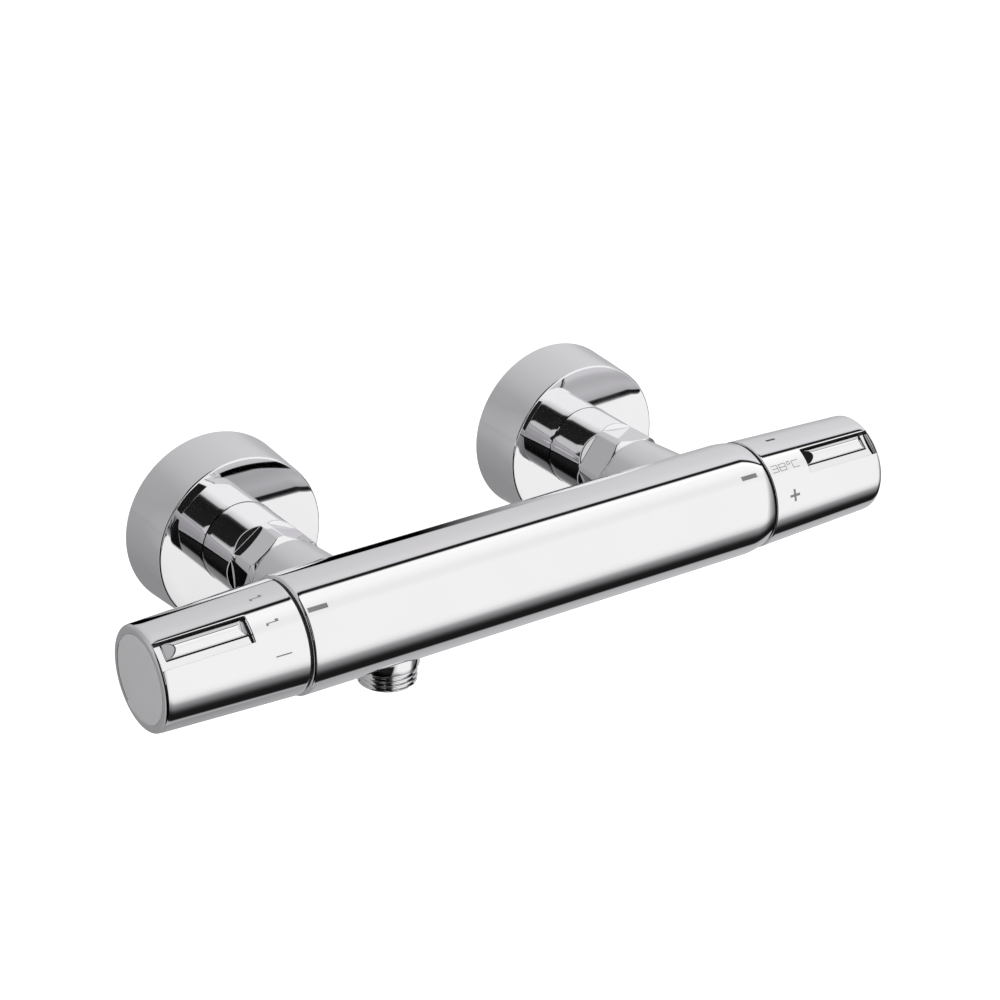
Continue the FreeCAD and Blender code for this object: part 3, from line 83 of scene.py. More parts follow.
class BarSizes(bpy.types.PropertyGroup):
    """Sizes of the bar and its two inlet necks, and the places of what it carries."""
    standoff: length("Standoff", "Bar axis to the wall", 91.0)
    radius: length("Bar radius", "Outside of the bar", 20.99)
    end: length("Bar end", "Middle to either end of the bar", 97.7)
    edge: length("Flow edge", "Rounded edge of the flow end", 1.1)
    shoulder: length("Shoulder", "Soft shoulder of the temperature end, along the bar", 8.0)
    drop: length("Shoulder drop", "Soft shoulder of the temperature end, across the bar", 1.1)
    neck_face: length("Neck face", "Wall to the face of the necks", 56.0)
    neck_radius: length("Neck radius", "Neck at its face", 14.6)
    neck_taper: angle("Neck taper", "Half angle of the neck's flare", 4.0)
    neck_round: length("Neck fillet", "Fillet between neck and bar", 3.0)
    neck_bore: length("Neck bore", "Radius of the neck's bore", 11.5)
    counterbore: length("Counterbore", "Radius of the mouth at the temperature end", 16.5)
    mouth: length("Mouth", "Radius of the flow end's mouth and of the cartridge's seat", 15.0)
    mouth_depth: length("Mouth depth", "Depth of both mouths", 9.7)
    tunnel: length("Tunnel", "Radius of the mixed water's tunnel", 6.0)
    inlet: length("Inlet", "Middle to either inlet axis", 75.0)
    outlet: length("Outlet", "Middle to the outlet axis", 57.0)
    mark_angle: angle("Mark angle", "Index marks above the horizontal", 47.2)


class HandleSizes(bpy.types.PropertyGroup):
    """Sizes of either handle, with its recess, press button and end cap."""
    root: length("Root", "Middle of the bar to the handle", 98.7)
    tip: length("Tip", "Middle of the bar to the handle's end", 151.0)
    root_radius: length("Root radius", "Handle beside the bar", 20.2)
    tip_radius: length("Tip radius", "Handle at its end", 18.4)
    tip_round: length("Tip round", "Rounded edge of the end", 1.5)
    root_edge: length("Root edge", "Rounded edge beside the bar", 0.4)
    bore: length("Bore", "Inside of the handle", 15.2)
    index: angle("Index", "Recess above the horizontal", 47.8)
    recess_start: length("Recess start", "Middle of the bar to the recess", 117.0)
    recess_end: length("Recess end", "Middle of the bar to the recess's outer end", 150.0)
    recess_half: length("Recess half width", "Recess across the handle", 4.6)
    recess_depth: length("Recess depth", "Recess below the surface", 2.1)
    rim: length("Rim", "Rounded rim of the recess", 0.3)
    button_start: length("Button start", "Middle of the bar to the button", 117.35)
    button_end: length("Button end", "Middle of the bar to the button's outer end", 147.15)
    button_half: length("Button half width", "Button across the handle", 2.7)
    button_middle: length("Button middle", "Middle of the button above the recess's middle", 1.4)
    button_gap: length("Button gap", "Gap under the button, across the handle", 0.4)
    button_flange: length("Button flange", "Half width of the flange under the handle", 4.2)
    button_rise: length("Button rise", "Crown over the recess's floor", 2.5)
    button_crown: length("Button crown", "Radius of the crown", 3.4)
    button_slope: angle("Button slope", "Slope of the button's ends", 32.0)
    cap_radius: length("Cap radius", "End cap", 15.4)
    cap_thickness: length("Cap thickness", "End cap", 1.5)


class InletSizes(bpy.types.PropertyGroup):
    """Sizes of either rosette and union nut, and the thread's pitch."""
    rosette_back: length("Rosette back", "Radius at the wall", 33.893)
    rosette_front: length("Rosette front", "Radius at its face", 32.6)
    rosette_depth: length("Rosette depth", "Rosette off the wall", 23.0)
    rosette_wall: length("Rosette wall", "Thickness of the skirt", 1.6)
    rosette_hole: length("Rosette hole", "Hole round the nut", 15.7)
    nut_radius: length("Nut radius", "Round skirt", 15.6)
    nut_flats: length("Nut flats", "Across the flats", 28.2)
    hot_turn: angle("Hot nut turn", "Clocking of the hot nut's flats", 5.0)
    cold_turn: angle("Cold nut turn", "Clocking of the cold nut's flats", 23.0)
    rosette_lip: length("Rosette lip", "Rounded front edge", 0.8)
    rosette_floor: length("Rosette face", "Thickness of the face", 2.2)
    pitch: length("Pitch", "G 1/2 and G 3/4 pipe thread", 1.814)
    half_inch: length("G 1/2 radius", "Major radius of the hose and wall threads", 10.48)
    union: length("G 3/4 radius", "Major radius of the union thread", 13.2)
    outlet_bore: length("Outlet bore", "Radius of the outlet's waterway", 7.0)


class Finishes(bpy.types.PropertyGroup):
    """Base colours of the metals, plastics and prints."""
    chrome: colour("Chrome", "Bright chrome plating", 0.94, 0.935, 0.945)
    satin: colour("Satin", "Satin chrome of the end caps", 0.80, 0.80, 0.81)
    brass: colour("Brass", "Machined brass", 0.72, 0.52, 0.25)
    rubber: colour("Rubber", "Black seal rubber", 0.018, 0.018, 0.019)
    dark_plastic: colour("Dark plastic", "Stop rings and cartridge", 0.022, 0.023, 0.025)
    white_plastic: colour("White plastic", "Carriers and non-return valves", 0.78, 0.77, 0.73)
    ceramic: colour("Ceramic", "Valve discs", 0.74, 0.70, 0.66)
    steel: colour("Steel", "Springs and screws", 0.60, 0.60, 0.61)
    copper: colour("Copper", "Wax element", 0.78, 0.42, 0.28)
    print_dark: colour("Dark print", "Signs printed on the handles", 0.055, 0.055, 0.06)
    print_grey: colour("Grey print", "Index marks on the bar", 0.26, 0.26, 0.27)


GROUPS = (("valve_bar", BarSizes), ("valve_handle", HandleSizes),
          ("valve_inlet", InletSizes), ("valve_finish", Finishes))


def in_mm(group):
    """The group's lengths in millimetres and its angles in radians, as plain attributes."""
    values = {}
    for key, kind in group.__annotations__.items():
        scale = 1.0 if kind.keywords.get("unit") == "ROTATION" else 1.0 / MM
        values[key] = getattr(group, key) * scale
    return SimpleNamespace(**values)


# ---------------------------------------------------------------- surfaces

def quads_of(rows, columns, wrap_rows=False, wrap_columns=True):
    """Corner numbers of a grid's quads: quad (i, j) joins rows i, i + 1 and columns j, j + 1."""
    i = np.arange(rows if wrap_rows else rows - 1)[:, None]
    j = np.arange(columns if wrap_columns else columns - 1)[None, :]
    down, right = (i + 1) % rows, (j + 1) % columns
    return np.stack([i * columns + j, i * columns + right, down * columns + right, down * columns + j], -1)


def lathe(profile, columns=192):
    """Turn a profile of (radius, height): point = (r cos t, r sin t, h). A profile that leaves
    and meets the axis has poles; any other one closes on itself."""
    r, h = np.asarray(profile, float).T[:, :, None]
    t = np.linspace(0, 2 * np.pi, columns, endpoint=False)
    points = np.stack([r * np.cos(t), r * np.sin(t), h + 0 * t], -1)
    poles = max(profile[0][0], profile[-1][0]) < 1e-9
    return points, quads_of(len(profile), columns, wrap_rows=not poles)


def block(top, bottom):
    """A closed shell between two grids of the same layout: both faces and a wall round their rim."""
    rows, columns = top.shape[:2]
    face = quads_of(rows, columns, wrap_columns=False).reshape(-1, 4)
    count = rows * columns
    number = np.arange(count).reshape(rows, columns)
    rim = np.concatenate([number[0], number[1:, -1], number[-1, -2::-1], number[-2:0:-1, 0]])
    after = np.roll(rim, -1)
    wall = np.stack([rim, after, after + count, rim + count], -1)
    return np.stack([top, bottom]), np.concatenate([face, face + count, wall])


def arc(radius, start, stop, steps=6):
    """Offsets (radius cos a, radius sin a) from start to stop degrees, along the profile."""
    a = np.radians(np.linspace(start, stop, steps))
    return radius * np.cos(a), radius * np.sin(a)


def corner(r, h, radius, start, stop, steps=6):
    """Profile points of a rounded corner about the centre (r, h)."""
    across, along = arc(radius, start, stop, steps)
    return [(r + u, h + v) for u, v in zip(across, along)]


def smooth_min(a, b, blend):
    """The lesser of a and b, with the crease between them rounded over the width blend."""
    near = np.maximum(blend - np.abs(a - b), 0) / blend
    return np.minimum(a, b) - near * near * blend / 4


def placed(shell, rows, origin):
    """The shell with its local x, y and z laid along the three given directions."""
    points, quads = shell
    return points @ np.asarray(rows, float) + np.asarray(origin, float), quads


def on_bar(shell, side, bar):
    """Local z outwards along the bar, local x to the front and local y up."""
    return placed(shell, [(0, -1, 0), (0, 0, 1), (side, 0, 0)], (0, -bar.standoff, 0))


def on_inlet(shell, side, bar, drop=0.0):
    """Local z from the wall into the room along an inlet, local y up."""
    return placed(shell, [(1, 0, 0), (0, 0, 1), (0, -1, 0)], (side * bar.inlet, 0, -drop))


def under_bar(shell, bar):
    """Local z down from the bar's axis at the outlet."""
    return placed(shell, [(1, 0, 0), (0, 1, 0), (0, 0, -1)], (-bar.outlet, -bar.standoff, 0))


def build(name, shells, material, crease=32.0):
    """One object of closed quad shells in millimetres: doubles welded, faces outwards."""
    corners = [points.reshape(-1, 3) for points, _ in shells]
    starts = np.cumsum([0] + [len(part) for part in corners[:-1]])
    points = np.concatenate(corners) * MM
    quads = np.concatenate([faces.reshape(-1, 4) + start for (_, faces), start in zip(shells, starts)])
    mesh = bpy.data.meshes.new(name)
    mesh.vertices.add(len(points))
    mesh.vertices.foreach_set("co", points.ravel())
    mesh.loops.add(quads.size)
    mesh.loops.foreach_set("vertex_index", quads.ravel().astype(np.int32))
    mesh.polygons.add(len(quads))
    mesh.polygons.foreach_set("loop_start", np.arange(0, quads.size, 4, dtype=np.int32))
    mesh.update(calc_edges=True)
    work = bmesh.new()
    work.from_mesh(mesh)
    bmesh.ops.remove_doubles(work, verts=work.verts, dist=2e-7)
    bmesh.ops.recalc_face_normals(work, faces=work.faces)
    work.to_mesh(mesh)
    work.free()
    mesh.polygons.foreach_set("use_smooth", np.ones(len(mesh.polygons), bool))
    mesh.set_sharp_from_angle(angle=math.radians(crease))
    mesh.materials.append(material)
    piece = bpy.data.objects.new(name, mesh)
    bpy.context.collection.objects.link(piece)
    return piece


# ---------------------------------------------------------------- the bar

def bar_outline(bar, x):
    """Radius of the bar at x: full, less a parabola over the soft shoulder."""
    share = np.clip((x - bar.end + bar.shoulder) / bar.shoulder, 0, 1)
    return bar.radius - bar.drop * share ** 2


def bar_shell(bar):
    """The bar as a turned closed profile: outside, both counterbores, cartridge bores, tunnel."""
    end, e, lip = bar.end, bar.edge, 0.25
    profile = corner(bar.radius - e, -end + e, e, -90, 0, 8)
    profile += [(bar.radius, x) for x in np.linspace(-end + 2.5, end - bar.shoulder, 120)]
    soft = np.linspace(end - bar.shoulder, end - lip, 16)[1:]
    profile += list(zip(bar_outline(bar, soft), soft))
    rim = bar.radius - bar.drop
    profile += corner(rim - 0.27, end - lip, lip, 20, 90, 4)
    seat, inner = end - bar.mouth_depth, -end + bar.mouth_depth
    nose, nose_seat, nose_end = 12.6, 59.0, 52.0
    disc_bore, disc_seat = 11.5, -50.0
    profile += [(bar.counterbore, end), (bar.counterbore, seat), (bar.mouth, seat), (bar.mouth, nose_seat),
                (nose, nose_seat), (nose, nose_end), (bar.tunnel, nose_end), (bar.tunnel, disc_seat),
                (disc_bore, disc_seat), (disc_bore, inner), (bar.mouth, inner), (bar.mouth, -end)]
    return on_bar(lathe(profile, 256), 1, bar)


def neck_shell(bar, side):
    """An inlet neck: a cone from its face down to the bar, then a quadratic Bezier fillet that
    leaves the cone a tangent length above their meeting line and lands that far out on the bar.
    The meeting line comes from repeating depth from width and width from depth. The bore goes back
    up inside, and the foot is sunk a little."""
    edge, sunk_by, first_guess = 0.3, 0.12, 15.0
    t = np.linspace(0, 2 * np.pi, 240, endpoint=False)
    flare, depth = math.tan(bar.neck_taper), bar.standoff - bar.neck_face
    down = np.full_like(t, first_guess)
    for _ in range(24):
        wide = bar.neck_radius + down * flare
        down = depth - np.sqrt(bar.radius ** 2 - (wide * np.sin(t)) ** 2)
    wide = bar.neck_radius + down * flare
    lean = np.arcsin(wide * np.sin(t) / bar.radius)

    def in_room(r, d):
        return np.stack([side * bar.inlet + r * np.cos(t), -bar.neck_face - d, r * np.sin(t)], -1)

    def on_surface(x, beta, sink):
        r = bar_outline(bar, x) - sink
        return np.stack([x, -bar.standoff + r * np.cos(beta), r * np.sin(beta)], -1)

    out = np.stack([np.cos(t), np.sin(t) * np.cos(lean)])
    out /= np.linalg.norm(out, axis=0)
    fall = np.stack([0 * t, -np.sin(lean) * out[1], np.cos(lean) * out[1]])
    wall = np.stack([flare * np.cos(t), -np.ones_like(t), flare * np.sin(t)]) / math.hypot(1, flare)
    along = out[0] * wall[0] + (fall * wall).sum(0)
    reach = bar.neck_round * np.tan(np.arccos(np.clip(along, -1, 1)) / 2)
    meeting = in_room(wide, down)
    high = in_room(wide - reach * flare, down - reach)
    x_far = side * bar.inlet + wide * np.cos(t) + reach * out[0]
    beta = lean + reach * out[1] / bar.radius
    low = on_surface(x_far, beta, 0.0)
    face = [in_room(np.full_like(t, r), np.full_like(t, d)) for r, d in
            [(bar.neck_bore, 0.0)] + corner(bar.neck_radius - edge, edge, edge, -90, 0, 5)]
    top = in_room(np.full_like(t, bar.neck_radius + edge * flare), np.full_like(t, 2 * edge))
    cone = [high * s + top * (1 - s) for s in np.linspace(0, 1, 12)]
    curve = [(1 - s) ** 2 * high + 2 * s * (1 - s) * meeting + s * s * low for s in np.linspace(0, 1, 14)[1:]]
    sunk = on_surface(x_far + 0.05 * out[0], beta, sunk_by)
    inner = on_surface(side * bar.inlet + bar.neck_bore * np.cos(t),
                       np.arcsin(bar.neck_bore * np.sin(t) / bar.radius), sunk_by)
    points = np.stack(face + cone + curve + [sunk, inner])
    return points, quads_of(len(points), len(t), wrap_rows=True)


def carved(name, shells, cutter, material):
    """The object with a closed cutter taken out of it."""
    whole = build(name + "_whole", shells, material)
    tool = build(name + "_tool", cutter, material)
    cut = whole.modifiers.new("cut", "BOOLEAN")
    cut.operation, cut.solver, cut.object = "DIFFERENCE", "EXACT", tool
    mesh = bpy.data.meshes.new_from_object(whole.evaluated_get(bpy.context.evaluated_depsgraph_get()))
    for item in (whole, tool):
        bpy.data.objects.remove(item)
    mesh.name = name
    mesh.set_sharp_from_angle(angle=math.radians(32))
    piece = bpy.data.objects.new(name, mesh)
    bpy.context.collection.objects.link(piece)
    return piece


# ---------------------------------------------------------------- inlets and outlet

def rosette_shell(inlet):
    """A turned cup: tapered skirt, rounded front edge, flat face with a hole, hollow behind."""
    back, front, depth = inlet.rosette_back, inlet.rosette_front, inlet.rosette_depth
    wall, lip, hole, bevel, fillet = inlet.rosette_wall, inlet.rosette_lip, inlet.rosette_hole, 0.15, 0.6
    slope = math.degrees(math.atan2(back - front, depth))
    profile = [(back - wall, 0.0), (back - bevel, 0.0), (back, bevel), ((back + front) / 2, depth / 2)]
    profile += corner(front - lip, depth - lip, lip, slope, 90, 9)
    profile += [(r, depth) for r in (28.0, 22.0, hole + bevel)]
    under, inside = depth - inlet.rosette_floor, front - wall
    profile += [(hole, depth - bevel), (hole, under), (inside - fillet, under), (inside, under - fillet)]
    return lathe(profile, 288)


def nut_shell(inlet, turn):
    """A union nut: at each height the radius is the smooth least of the round skirt, the six
    milled flats with their sloping shoulders, and the end chamfer; the bore goes back inside."""
    skirt, flat = inlet.nut_radius, inlet.nut_flats / 2
    start, end, round_edge = 20.0, 55.3, 0.4
    flats_start, flats_run, chamfer_start, chamfer_slope = 42.2, 1.8, 53.7, 1.5
    t = np.linspace(0, 2 * np.pi, 480, endpoint=False)
    h = np.concatenate([start + round_edge * (1 - np.cos(np.radians([0, 30, 60, 90]))), [26, 32, 37, 39],
                        np.arange(39.4, 43.0, 0.15), np.linspace(43.4, 53.0, 12),
                        np.arange(53.2, 55.25, 0.12), [end]])[:, None]
    low = np.clip((start + round_edge - h) / round_edge, 0, 1)
    edge = round_edge * (1 - np.sqrt(1 - low ** 2))
    local = (t - turn + np.pi / 6) % (np.pi / 3) - np.pi / 6
    shoulder = (skirt - flat) * np.maximum(flats_start - h, 0) / flats_run
    milled = (flat + smooth_min(shoulder, 9.0, 0.3)) / np.cos(local)
    radius = smooth_min(skirt - edge + 0 * t, milled, 0.22)
    radius = smooth_min(radius, skirt - chamfer_slope * (h - chamfer_start), 0.3)
    points = np.stack([radius * np.cos(t), radius * np.sin(t), h + 0 * radius], -1)
    inner = [(12.6, end), (11.8, end), (11.65, end - 0.15), (11.65, 51.7), (13.25, 51.7), (13.25, start)]
    bore = np.stack([np.stack([r * np.cos(t), r * np.sin(t), a + 0 * t], -1) for r, a in inner])
    points = np.concatenate([points, bore])
    return points, quads_of(len(points), len(t), wrap_rows=True)


def thread_rows(major, pitch, start, stop, lead):
    """Heights and a function of turn for a pipe thread: the radius falls from its major value by
    0.64 pitch along a rounded 55 degree V that climbs one pitch a turn, and fades in the lead."""
    rows_a_turn, fade = 18, 0.8 * pitch
    h = np.arange(start, stop + 1e-6, pitch / rows_a_turn)[:, None]

    def radius(t):
        phase = (h / pitch - t / (2 * np.pi)) % 1.0
        valley = np.clip(np.abs(phase - 0.5) * 2, 0, 1)
        wave = np.clip(valley * 1.35 - 0.16, 0, 1)
        depth = 0.64 * pitch * (1 - wave * wave * (3 - 2 * wave))
        near = np.clip((h - start) / fade, 0, 1)
        chamfer = np.maximum(h - stop + lead, 0)
        return np.minimum(major - depth * near, major - chamfer)
    return h, radius


def threaded_tube(before, major, pitch, start, stop, lead, after, columns=192):
    """A tube with a helical thread between two lists of (radius, height) profile points."""
    t = np.linspace(0, 2 * np.pi, columns, endpoint=False)
    h, radius = thread_rows(major, pitch, start, stop, lead)
    r = radius(t)
    middle = np.stack([r * np.cos(t), r * np.sin(t), h + 0 * r], -1)
    ends = [np.stack([np.stack([u * np.cos(t), u * np.sin(t), v + 0 * t], -1) for u, v in part])
            for part in (before, after)]
    points = np.concatenate([ends[0], middle, ends[1]])
    return points, quads_of(len(points), columns, wrap_rows=True)


def outlet_shell(inlet):
    """The hose outlet, heights below the bar's axis: shank, collar, thread and waterway."""
    bore, shank, major, top, collar, end = inlet.outlet_bore, 8.9, inlet.half_inch, 12.6, 17.5, 29.2
    before = [(bore, top), (shank, top), (shank, collar), (11.0, collar), (11.15, 17.53), (11.3, 17.7)]
    before += corner(11.0, 22.0, 0.3, 0, 90, 5) + [(major, 22.3)]
    after = [(shank, end), (7.4, end), (7.15, end - 0.1), (bore, end - 0.4)]
    return threaded_tube(before, major, inlet.pitch, 22.4, end, 0.9, after)


def outlet_hole():
    """The outlet's seat and waterway in the bar, as a stepped plug, heights below the bar's axis."""
    bore, seat, top, step, end = 6.5, 8.95, 9.0, 12.7, 24.0
    return lathe([(0, top), (bore, top), (bore, step), (seat, step), (seat, end), (0, end)], 96)


def connector_shells(inlet, bar, side):
    """The eccentric connector: threaded tube into the wall, disc, threaded tube to the union."""
    offset, bore, major, end = 8.0, 6.5, inlet.half_inch, 16.0
    wall = threaded_tube([(bore, -3.0), (major, -3.0), (major, -1.5)], major, inlet.pitch, -1.4, end, 1.0,
                         [(bore + 0.5, end), (bore, end - 0.5)])
    wall = placed(wall, [(1, 0, 0), (0, 0, 1), (0, 1, 0)], (side * bar.inlet, 0, -offset))
    disc = [(0, 2.0), (17.4, 2.0), (18.0, 2.6), (18.0, 9.4), (17.4, 10.0), (0, 10.0)]
    bore, major, end = 8.5, inlet.union, 45.5
    union = threaded_tube([(bore, 9.0), (major, 9.0), (major, 12.0)], major, inlet.pitch, 12.1, end, 1.2,
                          [(bore + 0.4, end), (bore, end - 0.4)])
    return [wall, on_inlet(lathe(disc), side, bar, offset / 2), on_inlet(union, side, bar)]


# ---------------------------------------------------------------- handles

def tilted(index, side, bar):
    """Directions of the axis outwards, across the recess and out of the recess, and the origin."""
    c, s = math.cos(index), math.sin(index)
    return [(side, 0, 0), (0, s, c), (0, -c, s)], (0, -bar.standoff, 0)


def taper(handle, x):
    """Radius of the handle's cone at x, before its tip is rounded."""
    share = (x - handle.root) / (handle.tip - handle.root)
    return handle.root_radius + (handle.tip_radius - handle.root_radius) * share


def handle_rows(handle):
    """Stations along the handle, which of them lie in the recess, and the window's first and last."""
    lo, hi, tip = handle.recess_start, handle.recess_end, handle.tip
    steps = handle.rim * RIM_STEPS
    lead = handle.root + handle.root_edge * (1 - np.cos(np.radians([0, 30, 60, 90])))
    window = np.linspace(handle.button_start - WINDOW_GAP, handle.button_end + WINDOW_GAP, 16)
    bulge = tip - handle.tip_round + handle.tip_round * np.sin(np.radians(np.arange(37, 91, 6)))
    bulge[-1] = tip
    outer = np.concatenate([lead, np.linspace(handle.root + 1, lo - 0.8, 14), lo - steps[::-1]])
    floor = np.concatenate([[lo], window, [hi - 1.4, hi]])
    x = np.concatenate([outer, floor, hi + steps, bulge])
    sunk = np.zeros(len(x), bool)
    sunk[len(outer):len(outer) + len(floor)] = True
    return x, sunk, len(outer) + 1, len(outer) + len(window)


def handle_columns(handle):
    """Turns about the axis from the recess's middle, which of them cross the recess's floor, and
    the window's first and last: near the middle they stand at chosen distances across."""
    half, flange = handle.recess_half, handle.button_flange
    low = handle.button_half - handle.button_middle + handle.button_gap
    level = [0, low / 2, low, 2.6, 3.4, flange, half]
    across = np.concatenate([level, half + handle.rim * RIM_STEPS, [5.4, 6.0, 6.8, 7.8]])
    wide = taper(handle, (handle.recess_start + handle.recess_end) / 2)
    theta = np.concatenate([np.arcsin(across / wide), np.radians(np.arange(26, 181, 2.0))])
    middle = len(theta) - 2
    theta = np.concatenate([-theta[-2:0:-1], theta])
    flat = np.abs(np.arange(len(theta)) - middle) < len(level)
    return theta, np.sin(theta) * wide, flat, middle - level.index(low), middle + level.index(flange)


def handle_shell(handle):
    """A tapered grip: rows follow the turned outline, columns go round. Near the top the columns
    keep their distance across from the middle plane, so walls are straight. Inside the recess the
    surface is a flat floor, a depth below the cone; its walls are doubled lines, its rim sinks by a
    quarter circle, and the button's window is opened through to the bore."""
    rim, tip = handle.rim, handle.tip
    x, sunk, first_row, last_row = handle_rows(handle)
    theta, across, level, first_column, last_column = handle_columns(handle)
    root_share = np.clip(1 - (x - handle.root) / handle.root_edge, 0, 1)
    root_lift = handle.root_edge * (1 - np.sin(np.arccos(root_share)))
    tip_share = np.clip((x - tip + handle.tip_round) / handle.tip_round, 0, 1)
    r = taper(handle, x) - root_lift - handle.tip_round * (1 - np.sqrt(1 - tip_share ** 2))
    straight_until, blend = np.radians([60, 36])
    keep = np.clip((straight_until - np.abs(theta)) / blend, 0, 1)

    def ring(x, r):
        """Points at station x and radius r, with columns at a fixed distance across near the top."""
        straight = np.arcsin(np.clip(across / r, -1, 1))
        turn = theta + (straight - theta) * keep
        return np.stack([x + 0 * turn, r * np.sin(turn), r * np.cos(turn)], -1)

    away = np.maximum(np.abs(across) - handle.recess_half, 0)[None, :]
    past = np.maximum(np.maximum(handle.recess_start - x, x - handle.recess_end), 0)[:, None]
    gap = np.where(np.abs(theta) < np.pi / 2, np.hypot(away, past), rim)
    sink = rim - np.sqrt(np.clip(rim ** 2 - np.clip(rim - gap, 0, rim) ** 2, 0, None))
    skin = ring(x[:, None], r[:, None] - sink)
    floor = taper(handle, x)[:, None] - handle.recess_depth
    flat = np.stack(np.broadcast_arrays(x[:, None], across[None, :], floor), -1)
    skin = np.where((sunk[:, None] & level[None, :])[..., None], flat, skin)
    seat, seat_depth = handle.cap_radius + 0.1, handle.cap_thickness + 0.1
    ends = [(tip, seat + 0.12), (tip - 0.12, seat), (tip - seat_depth, seat), (tip - seat_depth, handle.bore)]
    back = [(v, handle.bore) for v in x[first_row:last_row + 1][::-1]] + [(handle.root, handle.bore)]
    inside_x, inside_r = np.array(ends + back).T
    points = np.concatenate([skin, ring(inside_x[:, None], inside_r[:, None])])
    return points, windowed(len(points), len(theta), (first_row, last_row), (first_column, last_column),
                            len(x) + len(ends))


def windowed(rows, columns, row_span, column_span, inside):
    """Quads of a closed tube with a window from its outer rows through to the inner rows, which
    start at inside and run backwards: both sheets lose the window's quads and four walls join them."""
    (a, b), (c, d) = row_span, column_span
    open_rows, open_columns = np.zeros(rows, bool), np.zeros(columns, bool)
    open_rows[a:b] = True
    open_rows[inside:inside + b - a] = True
    open_columns[c:d] = True
    quads = quads_of(rows, columns, wrap_rows=True)
    kept = quads[~(open_rows[:, None] & open_columns[None, :])]
    i, j = np.arange(a, b) * columns, np.arange(c, d)
    back = (inside + b - np.arange(a, b)) * columns
    walls = [np.stack([i + k, i + columns + k, back - columns + k, back + k], -1) for k in (c, d)]
    for outer, inner in ((a * columns, (inside + b - a) * columns), (b * columns, inside * columns)):
        walls.append(np.stack([outer + j, outer + j + 1, inner + j + 1, inner + j], -1))
    return np.concatenate([kept] + walls)


def button_shell(handle):
    """A press button: height over the handle's axis is the smooth least of a crown, an arc across
    the button, and the two sloping ends; its sides drop to a flange that holds it in."""
    start, end, half = handle.button_start, handle.button_end, handle.button_half
    soft, sill, overlap, flange_top, flange_foot = 0.18, 0.3, 0.6, 14.25, 13.15
    inset = soft * np.array([0, 0.1, 0.35, 0.7, 1.0])
    run = np.concatenate([[0], inset, np.arange(0.4, 5.2, 0.16)])
    level = np.linspace(start + 6, end - 6, 12)
    x = np.concatenate([[start - overlap], start + run, level, end - run[::-1], [end + overlap]])
    v = np.concatenate([[0], inset, np.linspace(0.4, half, 14)])
    v = handle.button_middle + np.concatenate([v - half, half - v[-2::-1]])
    v = np.concatenate([[-handle.button_flange], v, [handle.button_flange]])
    aside = np.abs(v - handle.button_middle)[None, :]
    rises = np.ones((len(x), len(v)), bool)
    rises[[0, 1, -2, -1]] = False
    rises[:, [0, 1, -2, -1]] = False
    floor = (taper(handle, x) - handle.recess_depth)[:, None]
    crown = np.sqrt(handle.button_crown ** 2 - np.clip(aside, 0, half) ** 2)
    crown = floor + handle.button_rise - handle.button_crown + crown
    inwards = np.minimum(x - start, end - x)[:, None]
    ends = floor + sill + math.tan(handle.button_slope) * inwards
    edge = np.clip(soft - np.minimum(inwards, half - aside), 0, soft)
    fall = soft - np.sqrt(np.clip(soft ** 2 - edge ** 2, 0, None))
    height = np.where(rises, smooth_min(crown, ends, 0.16) - fall, flange_top)
    grid_x, grid_v = np.broadcast_arrays(x[:, None], v[None, :])
    foot = np.full_like(height, flange_foot)
    return block(np.stack([grid_x, grid_v, height], -1), np.stack([grid_x, grid_v, foot], -1))


def slab(x, v, top, foot):
    """A closed shell over the grid of x and v, between two heights above the handle's axis."""
    return block(*[np.stack(np.broadcast_arrays(x, v, height), -1) for height in (top, foot)])


def painted_shade_strip_shell(handle):
    """A dark rubber strip over the upper rim of the recess: painted shade, laid where the recess's upper wall
    shows dark. It stands just proud of the cone.
    """
    x = np.array([handle.recess_start + 0.05, handle.recess_end - 0.05])[:, None]
    v = handle.recess_half + np.array([-0.12, 0.05, 0.25, 0.42])[None, :]
    radius, proud, sunk = taper(handle, x), 0.02, 0.1
    return slab(x, v, np.sqrt(radius ** 2 - v ** 2) + proud, radius - handle.recess_depth - sunk)


def painted_shade_gap_shell(handle):
    """A dark rubber sheet of painted shade that fills the gap round the button to just under the
    recess's floor, so that the gap shows dark. Its foot stays clear of the spring when the button is pressed."""
    sunk, foot = 0.12, 14.7
    x = np.array([handle.button_start - 0.14, handle.button_end + 0.14])[:, None]
    low = handle.button_middle - handle.button_half - handle.button_gap
    v = np.array([low + 0.01, handle.button_flange - 0.01])[None, :]
    return slab(x, v, taper(handle, x) - handle.recess_depth - sunk, foot)


def cap_shell(handle, side, bar):
    """The end cap: a thin turned disc with a soft edge, and its plug into the handle."""
    tip, back = handle.tip, handle.tip - handle.cap_thickness
    plug, plug_length, bevel, edge = 4.9, 8.5, 0.3, 0.25
    end = back - plug_length
    profile = [(0, end), (plug - bevel, end), (plug, end + bevel), (plug, back), (handle.bore, back)]
    profile += corner(handle.cap_radius - edge, tip - edge, edge, 0, 90, 6) + [(8, tip), (0, tip)]
    return on_bar(lathe(profile, 256), side, bar)


# ---------------------------------------------------------------- marks

def wrapped(strokes, radius_at, turn, side, bar):
    """Thin pads (x0, x1, arc0, arc1) bent round the bar: the arc over the local radius adds to the
    turn. They stand a little proud of the surface and reach under it."""
    proud, sunk = 0.025, 0.15
    shells = []
    for x0, x1, arc0, arc1 in strokes:
        x = np.linspace(x0, x1, int(x1 - x0) + 2)[:, None]
        around = np.linspace(arc0, arc1, int((arc1 - arc0) / 0.25) + 2)[None, :]
        radius = radius_at(x)
        phi = turn + around / radius

        def at(reach):
            place = side * x, -bar.standoff - reach * np.cos(phi), reach * np.sin(phi)
            return np.stack(np.broadcast_arrays(*place), -1)
        shells.append(block(at(radius + proud), at(radius - sunk)))
    return shells


